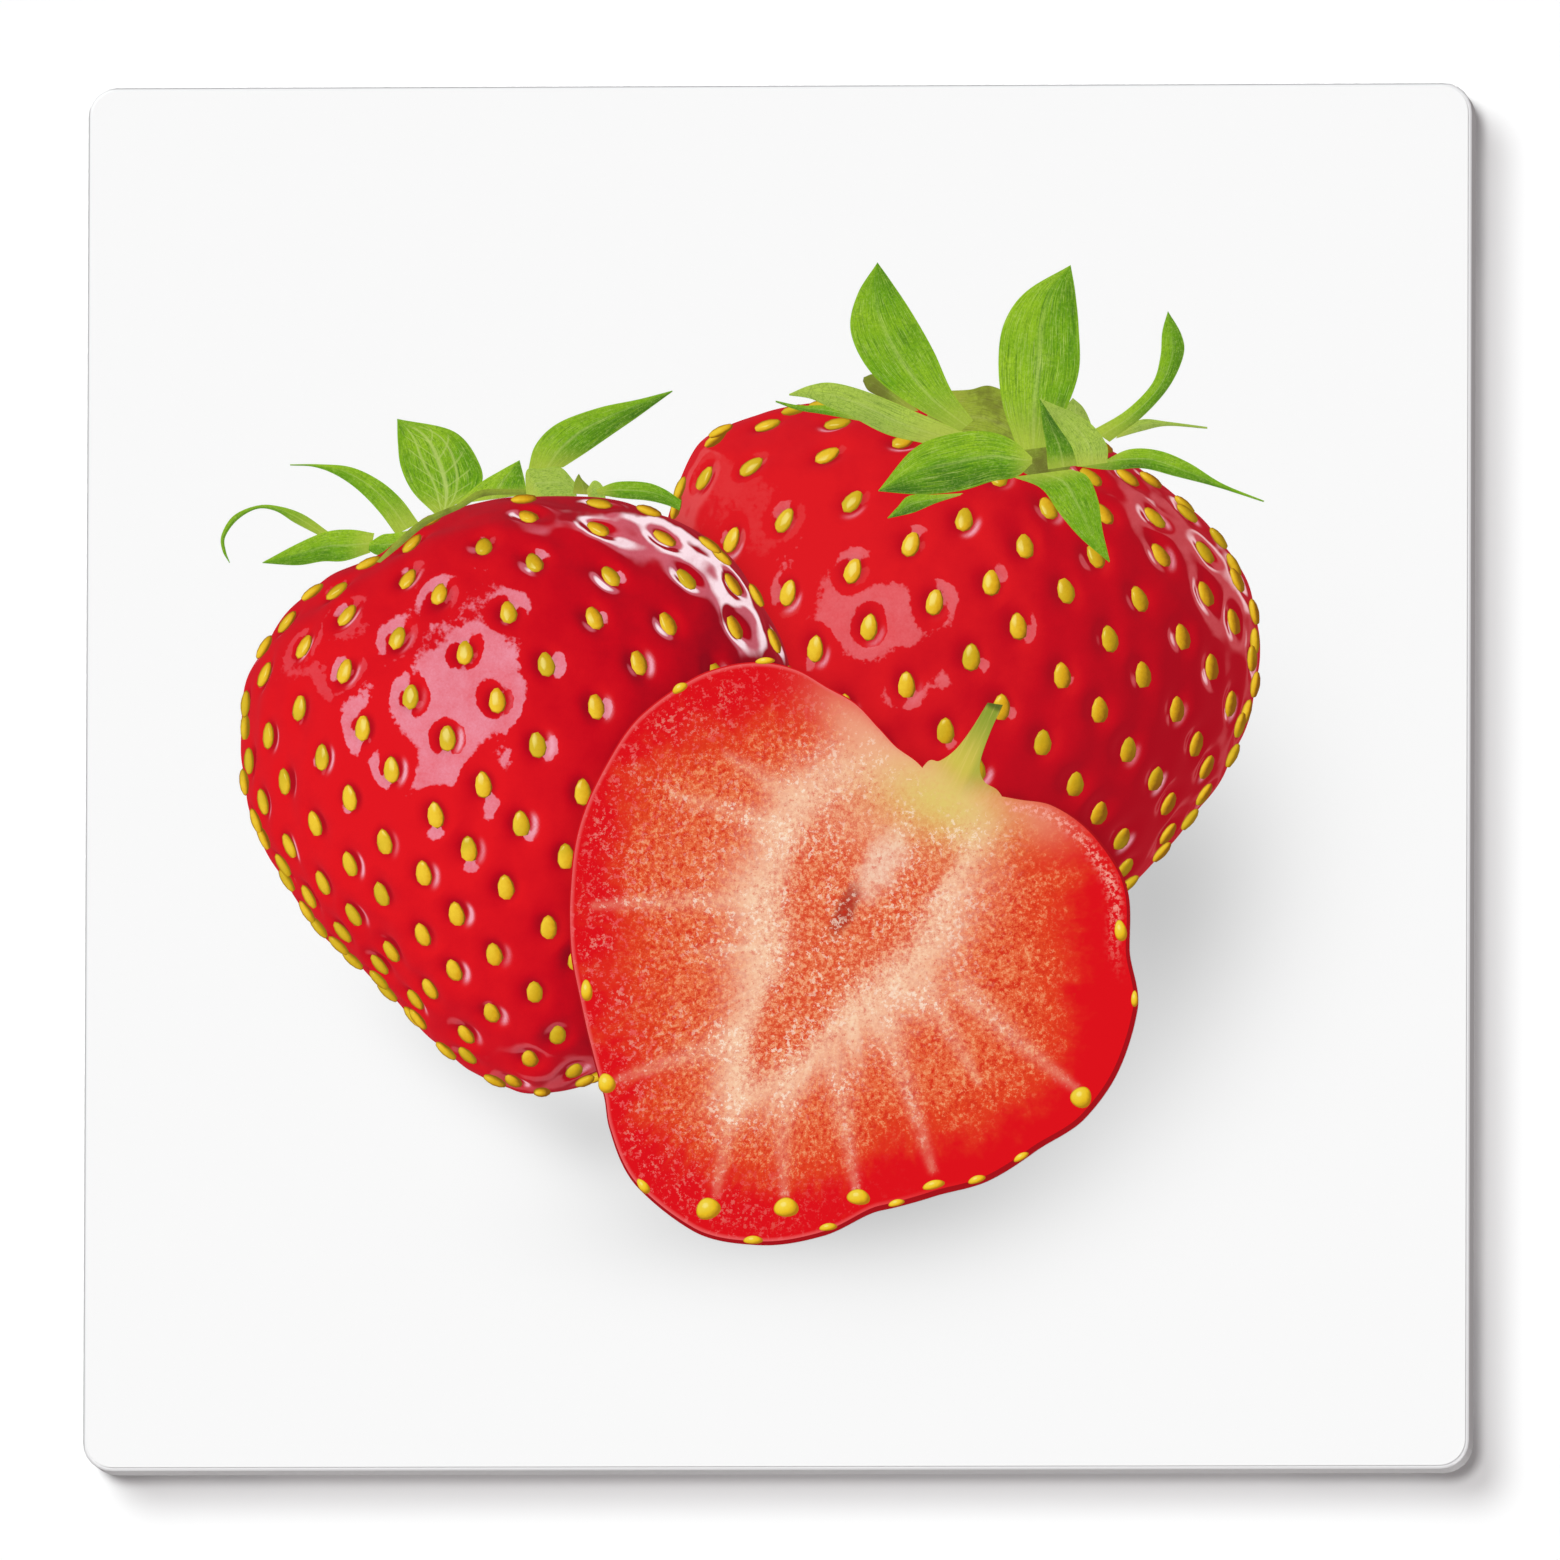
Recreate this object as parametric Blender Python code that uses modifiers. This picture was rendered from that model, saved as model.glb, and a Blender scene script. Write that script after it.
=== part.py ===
"""Square printed wall board: a folded sheet-steel tray with a printed front, hung on two keyhole plates.

Metres, +Z up. The wall is the plane Y = 0 and the printed front looks along -Y.
Run with: blender --background --python part.py
"""

import math

import bmesh
import bpy
from mathutils import Vector

# Tray, folded from one sheet
SIDE = 0.370            # width and height over the folds
TRAY_DEPTH = 0.018      # from the front of the sheet to the back of the return flange
SHEET = 0.0008          # sheet thickness
CORNER_RADIUS = 0.0078  # outside corner, seen from the front
BEND_RADIUS = 0.0010    # outside of each fold
FLANGE = 0.014          # return flange, from the outside of the side
NOTCH_RADIUS = 0.0080   # round relief cut where two flanges meet
NOTCH_INSET = 0.0105    # its centre, from both sides

# Printed layer on the front
FILM = 0.0005           # film and clear cover together
FILM_MARGIN = 0.0010    # bare fold left round the film

# Corner plates and keyhole plates, behind the flange
PLATE = 0.0010          # thickness of both
PLATE_INSET = 0.0030    # from the outside of the tray to a plate's edge
CORNER_LEG = 0.0460     # length of a corner plate along each flange
CORNER_STRIP = 0.0100   # its width at the ends
CORNER_TIP_RADIUS = 0.0050
PLATE_EDGE_RADIUS = 0.0020
HANGER_X = 0.110        # centre of a keyhole plate, each side of the middle
HANGER_WIDTH = 0.0400
HANGER_EDGE_RADIUS = 0.0040
KEY_HEAD_RADIUS = 0.0052   # hole that the screw's head goes through
KEY_SLOT_RADIUS = 0.0024   # half the width of the slot above it
KEY_TRAVEL = 0.0100        # from the round hole's centre up to the slot's end
KEY_BELOW_FLANGE = 0.0070  # from the flange's edge down to the slot's end
KEY_FOOT = 0.0040          # metal left below the round hole

# Rivets, each through one plate and the flange
RIVET_SHANK = 0.0016
RIVET_HEAD = 0.0032
RIVET_HEAD_HEIGHT = 0.0011
RIVET_TAIL = 0.0025
RIVET_TAIL_HEIGHT = 0.0010
RIVET_EDGE = 0.0055        # rivet's centre from the plate's outer edge
RIVET_END = 0.0080         # and from the end of a corner plate's leg
HANGER_RIVET_X = 0.0130    # each side of the keyhole plate's middle

# Rubber bumpers, pushed into the corner plates
BUMPER_HEAD = 0.0060
BUMPER_HEIGHT = 0.0030
BUMPER_STEM = 0.0025
BUMPER_BULB = 0.0034
BUMPER_TIP = 0.0014
BUMPER_BULB_HEIGHT = 0.0026
BUMPER_EDGE = 0.0006       # rounding of the head's rim

# Stiffening rails, taped to the back of the front sheet
RAIL_X = 0.060             # centre of a rail, each side of the middle
RAIL_WIDTH = 0.0300
RAIL_CROWN = 0.0140        # width of the raised middle
RAIL_HEIGHT = 0.0080
RAIL_SHEET = 0.0008
RAIL_END = 0.0030          # from the inside of the tray's top and bottom
TAPE = 0.0008
TAPE_WIDTH = 0.0065
TAPE_END = 0.0100          # bare rail left past each end of a tape

# Fits
TOUCH = 0.0003             # left between two faces that touch
HOLE_CLEARANCE = 0.0003    # between a shank or stem and its hole, all round
CUT_OVER = 0.0020          # how far a cutter runs past what it cuts

ARC_STEPS = 6              # straight runs in a quarter turn
ROUND_STEPS = 32           # and in a whole turn

# Planes along Y, from the wall forward
PLATE_BACK = -BUMPER_HEIGHT - TOUCH
PLATE_FRONT = PLATE_BACK - PLATE
TRAY_BACK = PLATE_FRONT - TOUCH
FLANGE_FRONT = TRAY_BACK - SHEET
TRAY_FRONT = TRAY_BACK - TRAY_DEPTH
SHEET_BACK = TRAY_FRONT + SHEET
FILM_BACK = TRAY_FRONT - TOUCH
FILM_FRONT = FILM_BACK - FILM
TAPE_FRONT = SHEET_BACK + TOUCH
TAPE_BACK = TAPE_FRONT + TAPE
RAIL_FRONT = TAPE_BACK + TOUCH

# Places in the plane of the board, from its centre
HALF = SIDE / 2
PLATE_OUT = HALF - PLATE_INSET
RIVET_OUT = PLATE_OUT - RIVET_EDGE
CORNER_RIVET = PLATE_OUT - CORNER_LEG + RIVET_END
NOTCH_AT = HALF - NOTCH_INSET
KEY_TOP = HALF - FLANGE - KEY_BELOW_FLANGE
KEY_HOLE = KEY_TOP - KEY_TRAVEL
HANGER_BOTTOM = KEY_HOLE - KEY_HEAD_RADIUS - KEY_FOOT
RAIL_LENGTH = SIDE - 2 * (SHEET + RAIL_END)


def clear_scene():
    """Remove every object that the file starts with."""
    for found in list(bpy.data.objects):
        bpy.data.objects.remove(found, do_unlink=True)


def new_collection(name):
    """Add a collection to the scene and return it."""
    made = bpy.data.collections.new(name)
    bpy.context.scene.collection.children.link(made)
    return made


def new_material(name, colour, roughness, metallic=0.0):
    """Return a Principled material of one colour."""
    material = bpy.data.materials.new(name)
    material.use_nodes = True
    shader = material.node_tree.nodes["Principled BSDF"]
    shader.inputs["Base Color"].default_value = (*colour, 1.0)
    shader.inputs["Roughness"].default_value = roughness
    shader.inputs["Metallic"].default_value = metallic
    return material


def arc(centre, radius, start, turn, steps):
    """Points on a circular arc, both ends included; angles in degrees."""
    points = []
    for step in range(steps + 1):
        angle = math.radians(start + turn * step / steps)
        points.append((centre[0] + radius * math.cos(angle), centre[1] + radius * math.sin(angle)))
    return points


def rounded(corners, radii):
    """Outline through the given corners, counterclockwise, with each one rounded by its own radius."""
    points = []
    for index, (corner, radius) in enumerate(zip(corners, radii, strict=True)):
        here = Vector(corner)
        before = (Vector(corners[index - 1]) - here).normalized()
        after = (Vector(corners[(index + 1) % len(corners)]) - here).normalized()
        if radius == 0:
            points.append(tuple(here))
            continue
        half_angle = before.angle(after) / 2
        middle = here + (before + after).normalized() * radius / math.sin(half_angle)
        start = here + before * radius / math.tan(half_angle) - middle
        end = here + after * radius / math.tan(half_angle) - middle
        turn = math.degrees(start.angle_signed(end))
        first = math.degrees(math.atan2(start.y, start.x))
        points += arc(middle, radius, first, -turn, ARC_STEPS)
    return points


def rectangle(width, height, radius, centre=(0.0, 0.0)):
    """Rounded rectangle outline about a centre."""
    x, z = width / 2, height / 2
    corners = [(-x, -z), (x, -z), (x, z), (-x, z)]
    corners = [(centre[0] + a, centre[1] + b) for a, b in corners]
    return rounded(corners, [radius] * 4)


def circle(centre, radius):
    """Round outline."""
    return arc(centre, radius, 0, 360, ROUND_STEPS)[:-1]


def keyhole(centre_x):
    """Outline of a keyhole: a round hole with a narrower slot above it."""
    half_gap = math.degrees(math.asin(KEY_SLOT_RADIUS / KEY_HEAD_RADIUS))
    hole = arc((centre_x, KEY_HOLE), KEY_HEAD_RADIUS, 90 + half_gap, 360 - 2 * half_gap, 3 * ARC_STEPS)
    return hole + arc((centre_x, KEY_TOP), KEY_SLOT_RADIUS, 0, 180, 2 * ARC_STEPS)


def outline_curve(name, outlines, thickness, edge=0.0):
    """2D curve, filled and extruded; outlines after the first are holes; edge rounds both rims."""
    curve = bpy.data.curves.new(name, "CURVE")
    curve.dimensions = "2D"
    curve.fill_mode = "BOTH"
    curve.extrude = thickness / 2 - edge
    curve.bevel_depth = edge
    curve.bevel_resolution = 2
    curve.offset = -edge
    for outline in outlines:
        spline = curve.splines.new("POLY")
        spline.points.add(len(outline) - 1)
        for point, (x, y) in zip(spline.points, outline, strict=True):
            point.co = (x, y, 0.0, 1.0)
        spline.use_cyclic_u = True
    return bpy.data.objects.new(name, curve)


def as_mesh(made):
    """Mesh object of a curve object's shape, with its seams closed, in the same place."""
    bpy.context.scene.collection.objects.link(made)
    bpy.context.view_layer.update()
    shape = bpy.data.meshes.new_from_object(made.evaluated_get(bpy.context.evaluated_depsgraph_get()))
    work = bmesh.new()
    work.from_mesh(shape)
    bmesh.ops.remove_doubles(work, verts=work.verts, dist=0.000001)
    bmesh.ops.recalc_face_normals(work, faces=work.faces)
    work.to_mesh(shape)
    work.free()
    solid = bpy.data.objects.new(made.name, shape)
    solid.location = made.location
    solid.rotation_euler = made.rotation_euler
    name = made.name
    bpy.data.objects.remove(made, do_unlink=True)
    solid.name = name
    return solid


class Board:
    """Puts finished pieces in their collection, under one empty, with their materials."""

    def __init__(self):
        self.pieces = new_collection("printed_wall_board")
        self.cutters = new_collection("cutters")
        self.root = bpy.data.objects.new("board_frame", None)
        self.pieces.objects.link(self.root)

    def keep(self, made, material, smooth=False):
        """Make an object one of the board's pieces."""
        self.pieces.objects.link(made)
        made.parent = self.root
        made.data.materials.append(material)
        if smooth:
            made.data.shade_smooth()
        return made

    def plate(self, name, outlines, front, back, material, edge=0.0):
        """Flat piece standing in the plane of the board, between two planes along Y."""
        made = outline_curve(name, outlines, back - front, edge)
        made.rotation_euler = (math.pi / 2, 0.0, 0.0)
        made.location = (0.0, (front + back) / 2, 0.0)
        return self.keep(as_mesh(made), material)

    def turned(self, name, profile, x, z, material):
        """Round piece about an axis along Y; the profile gives (radius, y) from axis to axis."""
        shape = bpy.data.meshes.new(name)
        work = bmesh.new()
        points = [work.verts.new((radius, y, 0.0)) for radius, y in profile]
        for first, second in zip(points, points[1:]):
            work.edges.new((first, second))
        work.to_mesh(shape)
        work.free()
        made = bpy.data.objects.new(name, shape)
        made.location = (x, 0.0, z)
        screw = made.modifiers.new("turn", "SCREW")
        screw.axis = "Y"
        screw.steps = ROUND_STEPS
        screw.render_steps = ROUND_STEPS
        screw.use_merge_vertices = True
        screw.merge_threshold = 0.00001
        screw.use_normal_calculate = True
        screw.use_normal_flip = True
        return self.keep(made, material, smooth=True)

    def cutter(self, made):
        """Make an object a hidden cutter."""
        self.cutters.objects.link(made)
        made.hide_render = True
        made.display_type = "WIRE"
        return made

    def cut_plate(self, name, outline, front, back, edge=0.0):
        """Cutter standing in the plane of the board, between two planes along Y."""
        made = outline_curve(name, [outline], back - front, edge)
        made.rotation_euler = (math.pi / 2, 0.0, 0.0)
        made.location = (0.0, (front + back) / 2, 0.0)
        return self.cutter(as_mesh(made))

    def cut(self, made, tool):
        """Subtract a cutter from a piece."""
        boolean = made.modifiers.new(tool.name, "BOOLEAN")
        boolean.operation = "DIFFERENCE"
        boolean.solver = "EXACT"
        boolean.object = tool


def hanger_rivets():
    """Places of the rivets in both keyhole plates, left to right."""
    return [(side * HANGER_X + shift, RIVET_OUT) for side in (-1, 1) for shift in (-HANGER_RIVET_X, HANGER_RIVET_X)]


def corner_rivets(side_x, side_z):
    """Places of the two rivets in one corner plate."""
    return [(side_x * CORNER_RIVET, side_z * RIVET_OUT), (side_x * RIVET_OUT, side_z * CORNER_RIVET)]


CORNERS = {
    "lower_left": (-1, -1),
    "lower_right": (1, -1),
    "upper_right": (1, 1),
    "upper_left": (-1, 1),
}


def build_tray(board, material):
    """Folded tray: sheet, sides and return flange, with relief cuts at the corners and rivet holes."""
    outer = rectangle(SIDE, SIDE, CORNER_RADIUS)
    tray = board.plate("front_tray", [outer], TRAY_FRONT, TRAY_BACK, material, edge=BEND_RADIUS)
    inner_side = SIDE - 2 * SHEET
    hollow = board.cut_plate(
        "cut_hollow",
        rectangle(inner_side, inner_side, CORNER_RADIUS - SHEET),
        SHEET_BACK,
        FLANGE_FRONT,
        edge=BEND_RADIUS - SHEET,
    )
    board.cut(tray, hollow)
    mouth_side = SIDE - 2 * FLANGE
    mouth = board.cut_plate(
        "cut_mouth",
        rectangle(mouth_side, mouth_side, PLATE_EDGE_RADIUS),
        FLANGE_FRONT - CUT_OVER,
        TRAY_BACK + CUT_OVER,
    )
    board.cut(tray, mouth)
    for corner, (side_x, side_z) in CORNERS.items():
        notch = circle((side_x * NOTCH_AT, side_z * NOTCH_AT), NOTCH_RADIUS)
        board.cut(tray, board.cut_plate(f"cut_notch_{corner}", notch, FLANGE_FRONT - CUT_OVER, TRAY_BACK + CUT_OVER))
    places = hanger_rivets()
    for side_x, side_z in CORNERS.values():
        places += corner_rivets(side_x, side_z)
    for number, place in enumerate(places, start=1):
        hole = circle(place, RIVET_SHANK + HOLE_CLEARANCE)
        board.cut(tray, board.cut_plate(f"cut_rivet_{number}", hole, FLANGE_FRONT - CUT_OVER, TRAY_BACK + CUT_OVER))


def build_film(board, material):
    """Printed layer over the flat of the front sheet."""
    side = SIDE - 2 * FILM_MARGIN
    outline = rectangle(side, side, CORNER_RADIUS - FILM_MARGIN)
    board.plate("print_layer", [outline], FILM_FRONT, FILM_BACK, material)


def build_corner_plates(board, material):
    """Plates that tie the flanges together at the corners, each with two rivet holes and a bumper hole."""
    end = PLATE_OUT - CORNER_LEG
    strip = PLATE_OUT - CORNER_STRIP
    corners = [(PLATE_OUT, PLATE_OUT), (end, PLATE_OUT), (end, strip), (strip, end), (PLATE_OUT, end)]
    radii = [CORNER_TIP_RADIUS] + [PLATE_EDGE_RADIUS] * 4
    outline = rounded(corners, radii)
    for corner, (side_x, side_z) in CORNERS.items():
        holes = [circle(place, RIVET_SHANK + HOLE_CLEARANCE) for place in corner_rivets(side_x, side_z)]
        holes.append(circle((side_x * NOTCH_AT, side_z * NOTCH_AT), BUMPER_STEM + HOLE_CLEARANCE))
        placed = [(side_x * x, side_z * z) for x, z in outline]
        board.plate(f"corner_plate_{corner}", [placed] + holes, PLATE_FRONT, PLATE_BACK, material)


def build_hangers(board, material):
    """Keyhole plates on the top flange."""
    height = PLATE_OUT - HANGER_BOTTOM
    for name, side in (("left", -1), ("right", 1)):
        centre_x = side * HANGER_X
        outline = rectangle(HANGER_WIDTH, height, HANGER_EDGE_RADIUS, (centre_x, PLATE_OUT - height / 2))
        holes = [circle(place, RIVET_SHANK + HOLE_CLEARANCE) for place in hanger_rivets() if place[0] * side > 0]
        holes.append(keyhole(centre_x))
        board.plate(f"hanger_plate_{name}", [outline] + holes, PLATE_FRONT, PLATE_BACK, material)


def rivet_profile():
    """Domed head behind the plate, shank, and the tail that is set inside the tray."""
    head = PLATE_BACK + TOUCH
    tail = FLANGE_FRONT - TOUCH
    dome = [
        (RIVET_HEAD * math.cos(angle), head + RIVET_HEAD_HEIGHT * math.sin(angle))
        for angle in (math.radians(90 - 90 * step / ARC_STEPS) for step in range(ARC_STEPS + 1))
    ]
    dome[0] = (0.0, head + RIVET_HEAD_HEIGHT)
    return dome + [
        (RIVET_SHANK, head),
        (RIVET_SHANK, tail),
        (RIVET_TAIL, tail),
        (RIVET_TAIL, tail - RIVET_TAIL_HEIGHT),
        (0.0, tail - RIVET_TAIL_HEIGHT),
    ]


def build_rivets(board, material):
    """Rivets of the keyhole plates and the corner plates."""
    profile = rivet_profile()
    for number, (x, z) in enumerate(hanger_rivets(), start=1):
        board.turned(f"hanger_rivet_{number}", profile, x, z, material)
    for corner, (side_x, side_z) in CORNERS.items():
        for edge, (x, z) in zip(("level", "upright"), corner_rivets(side_x, side_z), strict=True):
            board.turned(f"corner_rivet_{corner}_{edge}", profile, x, z, material)


def build_bumpers(board, material):
    """Rubber bumpers: a head against the wall, a stem through the corner plate and a bulb that holds it."""
    shoulder = -BUMPER_HEIGHT
    bulb = PLATE_FRONT - TOUCH
    profile = [
        (0.0, 0.0),
        (BUMPER_HEAD - BUMPER_EDGE, 0.0),
        (BUMPER_HEAD, -BUMPER_EDGE),
        (BUMPER_HEAD, shoulder),
        (BUMPER_STEM, shoulder),
        (BUMPER_STEM, bulb),
        (BUMPER_BULB, bulb),
        (BUMPER_TIP, bulb - BUMPER_BULB_HEIGHT),
        (0.0, bulb - BUMPER_BULB_HEIGHT),
    ]
    for corner, (side_x, side_z) in CORNERS.items():
        board.turned(f"bumper_{corner}", profile, side_x * NOTCH_AT, side_z * NOTCH_AT, material)


def build_rails(board, metal, tape):
    """Stiffening rails of hat section, each held by a strip of tape under both of its edges."""
    edge = RAIL_WIDTH / 2
    crown = RAIL_CROWN / 2
    back = RAIL_FRONT + RAIL_HEIGHT
    foot = RAIL_FRONT + RAIL_SHEET
    section = [
        (-edge, RAIL_FRONT),
        (-crown + RAIL_SHEET, RAIL_FRONT),
        (-crown + RAIL_SHEET, back - RAIL_SHEET),
        (crown - RAIL_SHEET, back - RAIL_SHEET),
        (crown - RAIL_SHEET, RAIL_FRONT),
        (edge, RAIL_FRONT),
        (edge, foot),
        (crown, foot),
        (crown, back),
        (-crown, back),
        (-crown, foot),
        (-edge, foot),
    ]
    tape_length = RAIL_LENGTH - 2 * TAPE_END
    for name, side in (("left", -1), ("right", 1)):
        rail = outline_curve(f"stiffener_rail_{name}", [section], RAIL_LENGTH)
        rail.location = (side * RAIL_X, 0.0, 0.0)
        board.keep(as_mesh(rail), metal)
        for place, shift in (("outer", side), ("inner", -side)):
            strip_x = side * RAIL_X + shift * (edge + crown) / 2
            strip = rectangle(TAPE_WIDTH, tape_length, 0.0, (strip_x, 0.0))
            board.plate(f"mounting_tape_{name}_{place}", [strip], TAPE_FRONT, TAPE_BACK, tape)


def main():
    """Build the whole board."""
    clear_scene()
    board = Board()
    coated = new_material("white_coated_steel", (0.93, 0.93, 0.93), 0.35)
    print_face = new_material("printed_film", (0.95, 0.95, 0.95), 0.28)
    zinc = new_material("zinc_plated_steel", (0.62, 0.63, 0.64), 0.32, metallic=1.0)
    bright = new_material("rivet_aluminium", (0.80, 0.80, 0.81), 0.28, metallic=1.0)
    rubber = new_material("grey_rubber", (0.06, 0.06, 0.065), 0.75)
    foam = new_material("mounting_tape", (0.85, 0.85, 0.82), 0.85)
    build_tray(board, coated)
    build_film(board, print_face)
    build_corner_plates(board, zinc)
    build_hangers(board, zinc)
    build_rivets(board, bright)
    build_bumpers(board, rubber)
    build_rails(board, zinc, foam)


main()
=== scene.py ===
"""Looks of a printed steel wall board: coated tray, hardware behind, and a picture in thin layers of ink."""

import logging
import math
from dataclasses import dataclass
from enum import Enum

import bmesh
import bpy
import numpy as np
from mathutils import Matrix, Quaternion, Vector, noise
from mathutils.kdtree import KDTree


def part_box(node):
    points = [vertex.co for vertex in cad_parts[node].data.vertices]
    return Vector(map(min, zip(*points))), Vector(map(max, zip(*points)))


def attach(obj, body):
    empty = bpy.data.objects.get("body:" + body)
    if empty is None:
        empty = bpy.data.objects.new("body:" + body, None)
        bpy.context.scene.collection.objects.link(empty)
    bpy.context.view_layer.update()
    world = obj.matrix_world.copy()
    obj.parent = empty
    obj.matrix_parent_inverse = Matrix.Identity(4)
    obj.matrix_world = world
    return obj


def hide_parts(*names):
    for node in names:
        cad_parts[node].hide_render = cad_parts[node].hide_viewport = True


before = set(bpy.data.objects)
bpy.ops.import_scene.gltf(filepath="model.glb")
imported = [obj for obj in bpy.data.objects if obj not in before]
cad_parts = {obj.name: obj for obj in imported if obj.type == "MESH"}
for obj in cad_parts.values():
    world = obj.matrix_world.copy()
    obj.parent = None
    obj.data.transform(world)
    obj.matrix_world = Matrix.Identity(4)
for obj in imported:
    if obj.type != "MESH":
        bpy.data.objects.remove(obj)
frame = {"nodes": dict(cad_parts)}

log = logging.getLogger("wall_board")

DRAWN_SIDE = 370.0          # the picture is laid out in millimetres on a board this wide
INK_ROOM = 0.6              # share of the printed layer's thickness that the inks stand in
GOLDEN_TURN = math.pi * (3.0 - math.sqrt(5.0))
COVER_WHITE = 0.865         # share of light that the printed cover's white returns
COVER_VALUE = 0.948         # linear value of that white where it is fully lit
Colour = tuple[float, float, float]
Place2D = tuple[float, float]
Path2D = tuple[Place2D, ...]
WHITE: Colour = (1.0, 1.0, 1.0)


def ink(red: int, green: int, blue: int) -> Colour:
    """Colour of an ink from its printed value, as the share of light that it returns.

    Args:
        red: Printed red, 0 to 255.
        green: Printed green.
        blue: Printed blue.

    Returns:
        Linear red, green and blue.
    """

    def linear(value: int) -> float:
        """Linear light of one channel."""
        share = value / 255.0
        light = share / 12.92 if share <= 0.04045 else ((share + 0.055) / 1.055) ** 2.4
        return light * COVER_WHITE / COVER_VALUE

    return (linear(red), linear(green), linear(blue))


# ---------------------------------------------------------------- shader maths


class Wire:
    """A node's output, with the arithmetic that adds Math nodes behind it."""

    def __init__(self, recipe: "Recipe", socket: bpy.types.NodeSocket) -> None:
        """Hold one socket of a recipe."""
        self.recipe = recipe
        self.socket = socket

    def __add__(self, other: "Wire | float") -> "Wire":
        """Sum."""
        return self.recipe.math("ADD", self, other)

    def __radd__(self, other: float) -> "Wire":
        """Sum."""
        return self.recipe.math("ADD", other, self)

    def __sub__(self, other: "Wire | float") -> "Wire":
        """Difference."""
        return self.recipe.math("SUBTRACT", self, other)

    def __rsub__(self, other: float) -> "Wire":
        """Difference."""
        return self.recipe.math("SUBTRACT", other, self)

    def __mul__(self, other: "Wire | float") -> "Wire":
        """Product."""
        return self.recipe.math("MULTIPLY", self, other)

    def __rmul__(self, other: float) -> "Wire":
        """Product."""
        return self.recipe.math("MULTIPLY", other, self)

    def __truediv__(self, other: "Wire | float") -> "Wire":
        """Quotient."""
        return self.recipe.math("DIVIDE", self, other)

    def __pow__(self, other: "Wire | float") -> "Wire":
        """Power."""
        return self.recipe.math("POWER", self, other)

    def size(self) -> "Wire":
        """Distance from nought."""
        return self.recipe.math("ABSOLUTE", self)

    def step(self, low: float, high: float) -> "Wire":
        """Smooth rise from 0 to 1.

        Args:
            low: Value at which the rise starts.
            high: Value at which it ends; below low, the rise is a fall.

        Returns:
            The eased share.
        """
        if low > high:
            return 1.0 - self.step(high, low)
        settings = {"interpolation_type": "SMOOTHSTEP"}
        spread = self.recipe.node("ShaderNodeMapRange", settings, {0: self, 1: low, 2: high, 3: 0.0, 4: 1.0})
        return Wire(self.recipe, spread.outputs[0])

    def bump(self, centre: float, width: float) -> "Wire":
        """Bell that is 1 at the centre and fades over the width."""
        away = (self - centre) * (1.0 / width)
        return self.recipe.math("EXPONENT", away * away * -1.0)


Value = Wire | float | Colour


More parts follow.
